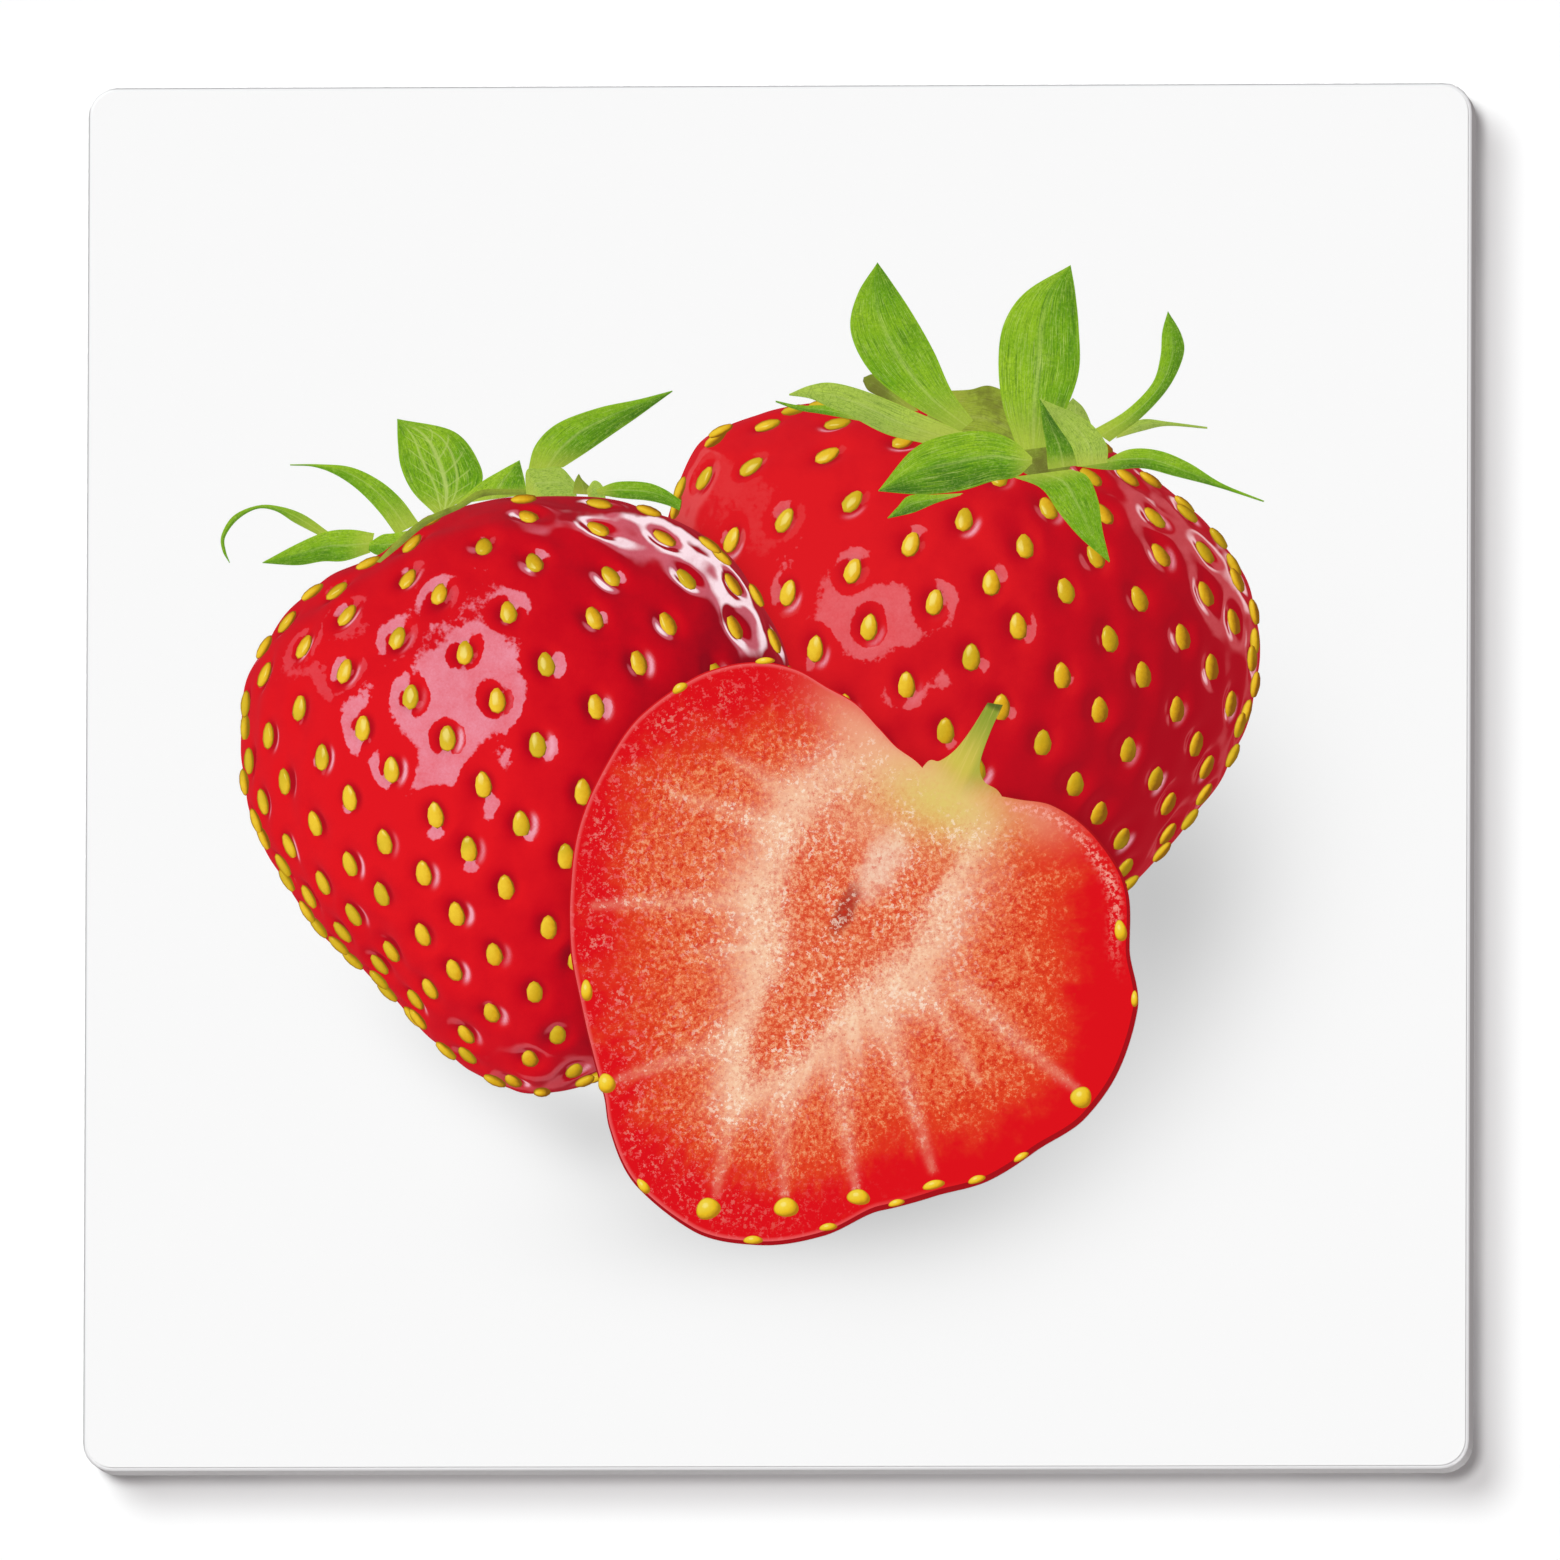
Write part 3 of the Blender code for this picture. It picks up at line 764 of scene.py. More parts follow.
    def material(self) -> bpy.types.Material:
        """Make the ink."""
        recipe = Recipe(self.name)
        where = recipe.place()
        metres_right, _, metres_up = recipe.split(where)
        right, up = metres_right * (1.0 / self.scale), metres_up * (1.0 / self.scale)
        colour = self.flesh(recipe, where, right, up)
        beyond, edge, thread = recipe.split(recipe.reading("flesh"))
        side, height, _ = recipe.split(recipe.reading("disc"))
        fine = recipe.grain(where, 760.0, 3.0, 0.75)
        flock = recipe.grain(where, 95.0, 3.0, 0.6).step(0.40, 0.62)
        coarse = recipe.grain(where, 430.0, 4.0, 0.75)
        wetness = beyond.step(26.0, 0.0) * 0.50 + thread * 0.5 + side.step(0.1, -0.9) * 0.22
        wet = recipe.math("MINIMUM", wetness * (0.45 + flock), 1.0)
        glints = (fine + flock * 0.05).step(0.60, 0.64) * wet
        colour = recipe.mix(glints * edge.step(1.0, 5.0) * 0.72, colour, self.glint)
        pits = fine.step(0.40, 0.36) * edge.step(6.0, 16.0)
        colour = recipe.mix(pits * 0.45, colour, self.ember)
        film = coarse.step(0.565, 0.595) * side.step(0.35, -0.75) * edge.step(38.0, 5.0)
        colour = recipe.mix(film * 0.5, colour, self.wet)
        lip = edge.step(1.3, 0.1) * side.step(0.5, -0.3)
        colour = recipe.mix(lip * 0.6, colour, self.wet)
        shoulder = side.step(0.45, 0.75) * height.step(-0.15, 0.25)
        shoulder = shoulder * edge.bump(3.0, 1.6) * fine.step(0.47, 0.60)
        colour = recipe.mix(shoulder * 0.8, colour, ink(250, 176, 160))
        colour = self.stalk(recipe, right, up, colour)
        return recipe.finish(PRINT_GLOSS | {"Base Color": colour})


@dataclass(frozen=True)
class PaperInk:
    """White of the printed cover, with the soft grey shadow under the fruit."""

    blots: tuple[Blot, ...]
    scale: float
    white: Colour = (COVER_WHITE, COVER_WHITE, COVER_WHITE)
    grey: Colour = (0.30, 0.30, 0.30)

    def material(self) -> bpy.types.Material:
        """Make the cover."""
        recipe = Recipe("printed_cover")
        where = recipe.place()
        right, _, up = recipe.split(where)
        across, above = right * (1.0 / self.scale), up * (1.0 / self.scale)
        shadow: Value = 0.0
        for blot in self.blots:
            shadow = blot.bell(recipe, across, above) + shadow
        tooth = recipe.grain(where, 2400.0, 2.0)
        paper = recipe.mix(tooth, self.white, tuple(0.995 * part for part in self.white))
        colour = recipe.mix(recipe.math("MINIMUM", shadow, 1.0), paper, self.grey)
        return recipe.finish(PRINT_GLOSS | {"Base Color": colour})


# ---------------------------------------------------------------- printed shapes


@dataclass(frozen=True)
class PrintBed:
    """Where the picture lies: its scale, the cover's front, and how far out its thickest ink may stand."""

    scale: float        # metres of board for each drawn millimetre
    cover: float
    front: float
    sink: float = 0.00003

    def depth(self, share: float | np.ndarray) -> float | np.ndarray:
        """Place across the board of an ink that stands this share of the room off the cover."""
        return self.cover + (self.front - self.cover) * share

    def under(self) -> float:
        """Place of the inks' backs, just inside the cover."""
        return self.cover + self.sink


@dataclass(frozen=True)
class Outline:
    """Closed outline round a centre, as radii at headings in degrees from the right."""

    centre: Place2D
    knots: Path2D

    def radii(self, headings: np.ndarray) -> np.ndarray:
        """Distance from the centre to the outline.

        Args:
            headings: Headings in radians.

        Returns:
            The smooth outline's radius at each.
        """
        turn = 2.0 * math.pi
        angle = np.radians([knot[0] for knot in self.knots])
        reach = np.array([knot[1] for knot in self.knots])
        angle = np.concatenate([angle[-2:] - turn, angle, angle[:2] + turn])
        reach = np.concatenate([reach[-2:], reach, reach[:2]])
        rise = np.diff(reach) / np.diff(angle)
        before, after = rise[:-1], rise[1:]
        level = before * after <= 0.0
        even = 2.0 * before * after / np.where(level, 1.0, before + after)
        slope = np.concatenate([[0.0], np.where(level, 0.0, even), [0.0]])
        wanted = np.mod(headings, turn)
        start = np.clip(np.searchsorted(angle, wanted, side="right") - 1, 0, len(angle) - 2)
        gap = angle[start + 1] - angle[start]
        share = (wanted - angle[start]) / gap
        rest = 1.0 - share
        ends = reach[start] * (1.0 + 2.0 * share) * rest**2
        ends = ends + reach[start + 1] * share**2 * (3.0 - 2.0 * share)
        bends = slope[start] * share * rest**2 - slope[start + 1] * share**2 * rest
        return ends + bends * gap

    def smooth(self, headings: np.ndarray, window: float = 0.8, steps: int = 9) -> np.ndarray:
        """Radius averaged over a window of headings, without the outline's small bumps."""
        return np.mean([self.radii(headings + turn) for turn in np.linspace(-window, window, steps)], axis=0)

    def beyond(self, right: np.ndarray, up: np.ndarray) -> np.ndarray:
        """How far places lie outside the outline, less than 0 inside it."""
        across, above = right - self.centre[0], up - self.centre[1]
        return np.hypot(across, above) - self.radii(np.arctan2(above, across))


class InkPiece:
    """A mesh of printed ink, from an open front to a closed, dressed and placed piece."""

    def __init__(self, name: str, bed: PrintBed) -> None:
        """Start an empty piece."""
        self.name = name
        self.bed = bed
        self.shape = bpy.data.meshes.new(name)

    @staticmethod
    def dome(subdivisions: int) -> bmesh.types.BMesh:
        """Front half of a round ball of radius 1, with its pole towards the viewer."""
        ball = bmesh.new()
        bmesh.ops.create_icosphere(ball, subdivisions=subdivisions, radius=1.0)
        parts = [*ball.verts, *ball.edges, *ball.faces]
        bmesh.ops.bisect_plane(ball, geom=parts, dist=1e-5, plane_no=(0.0, 1.0, 0.0), clear_outer=True)
        return ball

    def take(self, front: bmesh.types.BMesh) -> np.ndarray:
        """Take an open front as the piece's mesh, and give its points."""
        front.to_mesh(self.shape)
        front.free()
        return self.points()

    def points(self) -> np.ndarray:
        """Places of the mesh's points, a row each."""
        flat = np.empty(3 * len(self.shape.vertices), dtype=np.float32)
        self.shape.vertices.foreach_get("co", flat)
        return flat.reshape(-1, 3).astype(float)

    def move(self, places: np.ndarray) -> None:
        """Put the mesh's points at new places."""
        self.shape.vertices.foreach_set("co", places.astype(np.float32).ravel())
        self.shape.update()

    def facings(self) -> np.ndarray:
        """Which way the mesh faces at each point, as right, up and out."""
        flat = np.empty(3 * len(self.shape.vertices), dtype=np.float32)
        self.shape.vertex_normals.foreach_get("vector", flat)
        normal = flat.reshape(-1, 3)
        return np.stack([normal[:, 0], normal[:, 2], -normal[:, 1]], axis=1)

    def note(self, name: str, values: np.ndarray) -> None:
        """Keep three numbers at each point under a name, for the ink to read."""
        kept = self.shape.attributes.new(name, "FLOAT_VECTOR", "POINT")
        kept.data.foreach_set("vector", values.astype(np.float32).ravel())

    def press(self, right: np.ndarray, up: np.ndarray, share: np.ndarray) -> None:
        """Lay the mesh on the board.

        Args:
            right: Drawn place of each point to the right, in millimetres.
            up: Drawn place upwards.
            share: Height off the cover, as a share of the ink's room.
        """
        self.move(np.stack([right * self.bed.scale, self.bed.depth(share), up * self.bed.scale], axis=1))

    def weld(self, reach: float = 2e-5) -> None:
        """Join points that meet, as at a sepal's tip."""
        body = bmesh.new()
        body.from_mesh(self.shape)
        bmesh.ops.remove_doubles(body, verts=body.verts, dist=reach)
        bmesh.ops.dissolve_degenerate(body, edges=body.edges, dist=reach * 0.5)
        body.to_mesh(self.shape)
        body.free()

    def close(self) -> None:
        """Wall the rim down into the cover and close the back."""
        body = bmesh.new()
        body.from_mesh(self.shape)
        rim = [edge for edge in body.edges if edge.is_boundary]
        wall = bmesh.ops.extrude_edge_only(body, edges=rim)["geom"]
        for part in wall:
            if isinstance(part, bmesh.types.BMVert):
                part.co.y = self.bed.under()
        bmesh.ops.edgeloop_fill(body, edges=[edge for edge in body.edges if edge.is_boundary])
        bmesh.ops.recalc_face_normals(body, faces=body.faces)
        body.to_mesh(self.shape)
        body.free()

    def unwrap(self, strip: float = 0.04) -> None:
        """Give the front the whole of the map but a strip, and the rest that strip."""
        low, high = self.points().min(axis=0), self.points().max(axis=0)
        room = max(high[0] - low[0], high[2] - low[2])
        chart = self.shape.uv_layers.new(name="OFBake")
        for face in self.shape.polygons:
            ahead = face.normal.y < -0.5
            for corner in face.loop_indices:
                place = self.shape.vertices[self.shape.loops[corner].vertex_index].co
                across, above = (place.x - low[0]) / room, (place.z - low[2]) / room
                squeezed = strip + (1.0 - strip) * above if ahead else 0.5 * strip * above
                chart.data[corner].uv = (across, squeezed)

    def finish(self, material: bpy.types.Material) -> bpy.types.Object:
        """Unwrap, dress and place the piece."""
        self.unwrap()
        self.shape.materials.append(material)
        piece = bpy.data.objects.new(self.name, self.shape)
        bpy.context.scene.collection.objects.link(piece)
        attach(piece, "root")
        log.info("%s: %d faces", self.name, len(self.shape.polygons))
        return piece


@dataclass(frozen=True)
class WholeBerry:
    """One whole berry: a lumpy body seen from the front, with a dimple round each seed."""

    name: str
    outline: Outline
    bed: PrintBed
    skin: SkinInk
    seed_ink: SeedInk
    low: float                      # height of its edge, as a share of the ink's room
    high: float
    crown: tuple[float, float, float]    # where its stalk points: right, towards the wall, up
    covers: tuple[Outline, ...]
    seeds: int = 310
    depth: float = 70.0
    lump: float = 1.6
    dimple: float = 2.0
    seat_half: Place2D = (3.9, 4.8)
    seed_half: tuple[float, float, float] = (2.35, 3.75, 1.3)
    crowding: float = 0.86          # below 1, seeds are closer together towards the tip
    offset: float = 0.0
    seed_lift: float = 0.05
    glint_turn: float = -0.25       # where each dimple's rim catches the light, radians from the right
    glints: float = 0.25            # from -1 to 1, how many dimples do
    shade: float = 0.28             # how dark it is beside what covers it
    shade_reach: float = 3.5

    def body(self, directions: np.ndarray) -> np.ndarray:
        """Places on the bare body.

        Args:
            directions: Unit directions from its middle, a row each.

        Returns:
            Places in drawn millimetres from the outline's centre.
        """
        across, along, above = directions.T
        heading = np.arctan2(above, across)
        spread = np.minimum(np.hypot(across, above), 1.0)
        bumpy, even = self.outline.radii(heading), self.outline.smooth(heading)
        reach = spread * (even + (bumpy - even) * spread**3)
        return np.stack([reach * np.cos(heading), along * self.depth, reach * np.sin(heading)], axis=1)

    def seed_directions(self) -> np.ndarray:
        """Directions of the seeds, wound evenly round the crown's axis."""
        turn = np.arange(self.seeds)
        height = 1.0 - 2.0 * ((turn + 0.5) / self.seeds) ** self.crowding
        ring = np.sqrt(1.0 - height**2)
        angle = turn * GOLDEN_TURN + self.offset
        loose = np.stack([ring * np.cos(angle), ring * np.sin(angle), height], axis=1)
        loose += 0.012 * np.stack([np.sin(turn * 3.7), np.sin(turn * 5.1), np.sin(turn * 7.3)], axis=1)
        tilt = Vector((0.0, 0.0, 1.0)).rotation_difference(Vector(self.crown).normalized()).to_matrix()
        turned = loose @ np.array(tilt).T
        turned /= np.linalg.norm(turned, axis=1)[:, None]
        return turned[turned[:, 1] < 0.16]

    def frames(self, directions: np.ndarray) -> list[tuple[Vector, Vector, Vector, Vector]]:
        """Place, side, rise and facing of the body at some directions.

        Args:
            directions: Unit directions from its middle, a row each.

        Returns:
            For each, its place and three unit vectors; the rise points to the crown.
        """
        step = 0.01
        found = []
        for direction, place in zip(directions, self.body(directions), strict=True):
            ahead = Vector(direction)
            side = ahead.cross(Vector(self.crown)).normalized()
            rise = side.cross(ahead).normalized()
            near = np.array([(ahead + side * step).normalized(), (ahead + rise * step).normalized()])
            sideways, upwards = (Vector(spot) - Vector(place) for spot in self.body(near))
            facing = sideways.cross(upwards).normalized()
            if facing.dot(ahead) < 0.0:
                facing.negate()
            rise = (upwards - facing * upwards.dot(facing)).normalized()
            found.append((Vector(place), rise.cross(facing).normalized(), rise, facing))
        return found

    def share(self, places: np.ndarray) -> np.ndarray:
        """Height of body places in the ink's room."""
        return self.low + (self.high - self.low) * np.clip(-places[:, 1] / self.depth, 0.0, 1.0)

    def build_skin(self, frames: list[tuple[Vector, Vector, Vector, Vector]]) -> None:
        """Build the skin with its lumps and dimples."""
        piece = InkPiece(f"{self.name}_skin", self.bed)
        directions = piece.take(piece.dome(8))
        directions /= np.linalg.norm(directions, axis=1)[:, None]
        places = self.body(directions)
        tree = KDTree(len(frames))
        for index, (place, *_) in enumerate(frames):
            tree.insert(place, index)
        tree.balance()
        pull = np.zeros(len(places))
        seat = np.zeros((len(places), 3))
        for row, (place, direction) in enumerate(zip(places, directions, strict=True)):
            lumps = noise.noise(Vector(direction) * 3.1 + Vector((self.offset, 0.0, 0.0)))
            lumps += 0.5 * noise.noise(Vector(direction) * 7.0)
            near, index, _ = tree.find(place)
            side, rise = frames[index][1], frames[index][2]
            away = Vector(place) - near
            apart = math.hypot(away.dot(side) / self.seat_half[0], away.dot(rise) / self.seat_half[1])
            pull[row] = self.lump * lumps - self.dimple * math.exp(-(apart**2.4))
            seat[row, 0] = math.exp(-((apart / 0.85) ** 5))
            around = math.atan2(away.dot(rise), away.dot(side)) - self.glint_turn
            arc = math.exp(-((math.remainder(around, 2.0 * math.pi) / 0.75) ** 4))
            rim = math.exp(-(((apart - 1.0) / 0.15) ** 2))
            seat[row, 2] = arc * rim * max(0.0, math.sin(index * 2.4) + self.glints)
        piece.move(places)
        outward = piece.facings()
        flat = np.stack([outward[:, 0], -outward[:, 2], outward[:, 1]], axis=1)
        ahead = np.clip(-directions[:, 1] * 4.0, 0.0, 1.0)
        places = places + flat * (pull * (0.25 + 0.75 * ahead))[:, None]
        piece.move(places)
        facings = piece.facings()
        right, up = places[:, 0] + self.outline.centre[0], places[:, 2] + self.outline.centre[1]
        for cover in self.covers:
            past = np.maximum(cover.beyond(right, up), 0.0)
            seat[:, 1] = np.maximum(seat[:, 1], self.shade * np.exp(-past / self.shade_reach))
        piece.note("form", facings)
        piece.note("seat", seat)
        piece.press(right, up, self.share(places))
        piece.close()
        piece.finish(self.skin.material())

    def build_seeds(self, frames: list[tuple[Vector, Vector, Vector, Vector]]) -> None:
        """Build the seeds, each a drop that sits in its dimple."""
        piece = InkPiece(f"{self.name}_seeds", self.bed)
        drops = bmesh.new()
        form = drops.verts.layers.float_vector.new("form")
        wide, tall, thick = self.seed_half
        for place, side, rise, facing in frames:
            for point in bmesh.ops.create_icosphere(drops, subdivisions=2, radius=1.0)["verts"]:
                across, along, out = point.co
                across *= 1.0 - 0.22 * along
                spot = place + side * across * wide + rise * along * tall
                spot += facing * (out * thick - 0.2 * self.dimple)
                leaning = (side * across / wide + rise * along / tall + facing * out / thick).normalized()
                share = self.share(np.array([spot]))[0] + self.seed_lift
                point[form] = (leaning.x, leaning.z, -leaning.y)
                depth = self.bed.depth(share) if leaning.y < 0.1 else self.bed.under()
                right, up = spot.x + self.outline.centre[0], spot.z + self.outline.centre[1]
                point.co = (right * self.bed.scale, depth, up * self.bed.scale)
        piece.take(drops)
        piece.finish(self.seed_ink.material())

    def build(self) -> None:
        """Build the berry's printed pieces."""
        frames = self.frames(self.seed_directions())
        self.build_skin(frames)
        self.build_seeds(frames)


@dataclass(frozen=True)
class Blade:
    """One sepal, between its left and right edges, each drawn from its foot to its tip."""

    left: Path2D
    right: Path2D
    kind: SepalKind = SepalKind.PLAIN
    cup: float = 0.5                # how far its sides turn up
    tone: float = 0.0               # how much lighter it is than the others

    @staticmethod
    def at(edge: Path2D, share: float) -> Vector:
        """Place on a smooth line through an edge's points, at a share of its length."""
        spans = len(edge) - 1
        start = min(int(share * spans), spans - 1)
        local = share * spans - start
        first, second = Vector(edge[start]), Vector(edge[start + 1])
        before = Vector(edge[start - 1]) if start > 0 else first * 2.0 - second
        after = Vector(edge[start + 2]) if start < spans - 1 else second * 2.0 - first
        slope, curve = second - before, before * 2.0 - first * 5.0 + second * 4.0 - after
        sweep = first * 3.0 - second * 3.0 + after - before
        return first + (slope * local + curve * local**2 + sweep * local**3) * 0.5

    def build(self, name: str, bed: PrintBed, share: float, finish: bpy.types.Material) -> None:
        """Build the sepal.

        Args:
            name: The piece's name.
            bed: Where the picture lies.
            share: Its height off the cover, as a share of the ink's room.
            finish: Its ink.
        """
        piece = InkPiece(name, bed)
        sheet = bmesh.new()
        bmesh.ops.create_grid(sheet, x_segments=12, y_segments=40, size=1.0)
        places = piece.take(sheet)
        rows, forms, blades = np.zeros_like(places), np.zeros_like(places), np.zeros_like(places)
        for row, (across, length, _) in enumerate(places):
            along = 0.5 + 0.5 * length
            left, right = self.at(self.left, along), self.at(self.right, along)
            spot = left.lerp(right, 0.5 + 0.5 * across)
            later, sooner = min(along + 0.02, 1.0), max(along - 0.02, 0.0)
            ahead = self.at(self.left, later) - self.at(self.left, sooner)
            ahead = (ahead + self.at(self.right, later) - self.at(self.right, sooner)).normalized()
            side = Vector((ahead.y, -ahead.x))
            if side.dot(right - left) < 0.0:
                side.negate()
            ripple = 0.35 * noise.noise(Vector((spot.x * 0.09, spot.y * 0.09, 3.0)))
            turn = self.cup * math.copysign(0.25 + 0.75 * abs(across), across) + ripple
            lean = 0.3 * noise.noise(Vector((spot.x * 0.07, spot.y * 0.07, 9.0)))
            tilt = side * turn + ahead * lean
            rows[row], forms[row] = (spot.x, spot.y, 0.0), Vector((tilt.x, tilt.y, 1.0)).normalized()
            blades[row] = (across, along, self.tone)
        piece.note("form", forms)
        piece.note("blade", blades)
        piece.press(rows[:, 0], rows[:, 1], np.full(len(rows), share))
        piece.weld()
        piece.close()
        piece.finish(finish)


@dataclass(frozen=True)
class CutBerry:
    """Half a berry that shows its cut face, with a rim of skin, seeds along it and a torn stalk."""

    name: str
    bed: PrintBed
    outline: Outline                # of the cut face, without its stalk
    stalk: tuple[Path2D, Path2D]    # left and right edges of its stalk, from the foot up
    core: Outline
    fibres: tuple[Path2D, ...]
    seeds: tuple[tuple[float, float, float, float, float], ...]   # right, up, half width, half height, turn
    face_ink: CutInk
    rim_ink: SkinInk
    seed_ink: SeedInk
    share: float
    rim_width: float = 1.5
    rim_towards: float = -55.0      # heading of the side that shows the most skin
    fibre_half: float = 1.7
    core_tilt: float = 57.0         # heading of the core's long axis
    core_slimness: float = 2.1      # how much longer than wide it is
    face_lift: float = 0.06         # how far each stands over the rim, as shares of the ink's room
    stalk_lift: float = 0.09
    seed_lift: float = 0.12

    def disc(self, piece: InkPiece, widen: float) -> tuple[np.ndarray, np.ndarray, np.ndarray]:
        """Lay a dome out flat inside the outline of the cut face.

        Args:
            piece: Takes the mesh.
            widen: Skin shown outside the outline, at its most.

        Returns:
            Unit directions of the dome's points, then their drawn places right and up.
        """
        directions = piece.take(piece.dome(8))
        directions /= np.linalg.norm(directions, axis=1)[:, None]
        heading = np.arctan2(directions[:, 2], directions[:, 0])
        spread = np.arcsin(np.clip(np.hypot(directions[:, 0], directions[:, 2]), 0.0, 1.0)) * (2.0 / math.pi)
        shown = widen * (0.25 + 0.75 * np.maximum(np.cos(heading - math.radians(self.rim_towards)), 0.0))
        reach = spread * (self.outline.radii(heading) + shown)
        right = self.outline.centre[0] + reach * np.cos(heading)
        up = self.outline.centre[1] + reach * np.sin(heading)
        return directions, right, up

    def build_rim(self) -> None:
        """Build the skin that shows round the cut face."""
        piece = InkPiece(f"{self.name}_rim", self.bed)
        directions, right, up = self.disc(piece, self.rim_width)
        piece.note("form", np.stack([directions[:, 0], directions[:, 2], -directions[:, 1]], axis=1))
        piece.note("seat", np.zeros_like(directions))
        piece.press(right, up, np.full(len(right), self.share))
        piece.close()
        piece.finish(self.rim_ink.material())

    def thread(self, right: np.ndarray, up: np.ndarray) -> np.ndarray:
        """How strongly each place lies on a fibre.

        Args:
            right: Drawn places to the right.
            up: Drawn places upwards.

        Returns:
            Share from 0 to 1 at each place.
        """
        spots = np.stack([right, up], axis=1)
        found = np.zeros(len(spots))
        for fibre in self.fibres:
            whole = len(fibre) - 1
            for span in range(whole):
                start, end = np.array(fibre[span]), np.array(fibre[span + 1])
                along = (spots - start) @ (end - start) / ((end - start) @ (end - start))
                along = np.clip(along, 0.0, 1.0)
                apart = np.linalg.norm(spots - start - along[:, None] * (end - start), axis=1)
                travelled = (span + along) / whole
                half = self.fibre_half * (2.2 - 1.6 * travelled)
                found = np.maximum(found, np.exp(-((apart / half) ** 2)) * (1.0 - 0.45 * travelled))
        return found

    def lay(self, piece: InkPiece, right: np.ndarray, up: np.ndarray, disc: np.ndarray, share: float) -> None:
        """Lay a piece of the cut face, and note how far each place is from the pith, the rim and the fibres.

        Args:
            piece: The piece.
            right: Its drawn places to the right.
            up: Its drawn places upwards.
            disc: Where each place is on the face, from -1 to 1 each way.
            share: Its height off the cover, as a share of the ink's room.
        """
        beyond = self.core.beyond(right, up)
        edge = -self.outline.beyond(right, up)
        across, above = right - self.core.centre[0], up - self.core.centre[1]
        tilt = math.radians(self.core_tilt)
        along = across * math.cos(tilt) + above * math.sin(tilt)
        aside = (above * math.cos(tilt) - across * math.sin(tilt)) * self.core_slimness
        turn = np.arctan2(aside, along)
        piece.note("flesh", np.stack([beyond, edge, self.thread(right, up)], axis=1))
        piece.note("fan", np.stack([np.cos(turn), np.sin(turn), np.zeros_like(turn)], axis=1))
        piece.note("disc", np.stack([disc[:, 0], disc[:, 1], np.zeros_like(turn)], axis=1))
        piece.press(right, up, np.full(len(right), share))

    def build_face(self) -> None:
        """Build the cut face, then the stalk that is cut with it."""
        finish = self.face_ink.material()
        face = InkPiece(f"{self.name}_face", self.bed)
        directions, right, up = self.disc(face, 0.0)
        self.lay(face, right, up, directions[:, [0, 2]], self.share + self.face_lift)
        face.close()
        face.finish(finish)
        stem = InkPiece(f"{self.name}_stalk", self.bed)
        sheet = bmesh.new()
        bmesh.ops.create_grid(sheet, x_segments=40, y_segments=60, size=1.0)
        spots = []
        for across, length, _ in stem.take(sheet):
            left, right_edge = (Blade.at(edge, 0.5 + 0.5 * length) for edge in self.stalk)
            spots.append(left.lerp(right_edge, 0.5 + 0.5 * across))
        places = np.array(spots)
        self.lay(stem, places[:, 0], places[:, 1], np.full_like(places, 0.5), self.share + self.stalk_lift)
        stem.close()
        stem.finish(finish)

    def build_seeds(self) -> None:
        """Build the seeds that the cut has left along the rim."""
        piece = InkPiece(f"{self.name}_seeds", self.bed)
        drops = bmesh.new()
        form = drops.verts.layers.float_vector.new("form")
        for right, up, wide, tall, turn in self.seeds:
            cosine, sine = math.cos(math.radians(turn)), math.sin(math.radians(turn))
            for point in bmesh.ops.create_icosphere(drops, subdivisions=3, radius=1.0)["verts"]:
                across, along, out = point.co
                point[form] = (across * cosine - along * sine, along * cosine + across * sine, max(out, 0.0))
                aside, ahead = across * (1.0 - 0.2 * along) * wide, along * tall
                spot = (right + aside * cosine - ahead * sine, up + ahead * cosine + aside * sine)
                share = self.share + self.seed_lift + 0.05 * max(out, 0.0)
                depth = self.bed.depth(share) if out > -0.1 else self.bed.under()
                point.co = (spot[0] * self.bed.scale, depth, spot[1] * self.bed.scale)
        bmesh.ops.recalc_face_normals(drops, faces=drops.faces)
        piece.take(drops)
        piece.finish(self.seed_ink.material())

    def build(self) -> None:
        """Build the half berry's printed pieces."""
        self.build_rim()
        self.build_face()
        self.build_seeds()


@dataclass(frozen=True)
class Calyx:
    """The sepals of one berry, laid over each other in order."""

    name: str
    bed: PrintBed
    behind: tuple[Blade, ...]       # under the berry's skin
    before: tuple[Blade, ...]       # over it
    low: float
    high: float
    step: float = 0.012

    def build(self) -> None:
        """Build every sepal, each a little higher than the one before it."""
        inks = {kind: LeafInk(f"{self.name}_{kind.name.lower()}_ink", kind).material() for kind in SepalKind}
        for group, start, blades in (("back", self.low, self.behind), ("front", self.high, self.before)):
            for number, blade in enumerate(blades, start=1):
                name = f"{self.name}_{group}_{number}"
                blade.build(name, self.bed, start + self.step * number, inks[blade.kind])


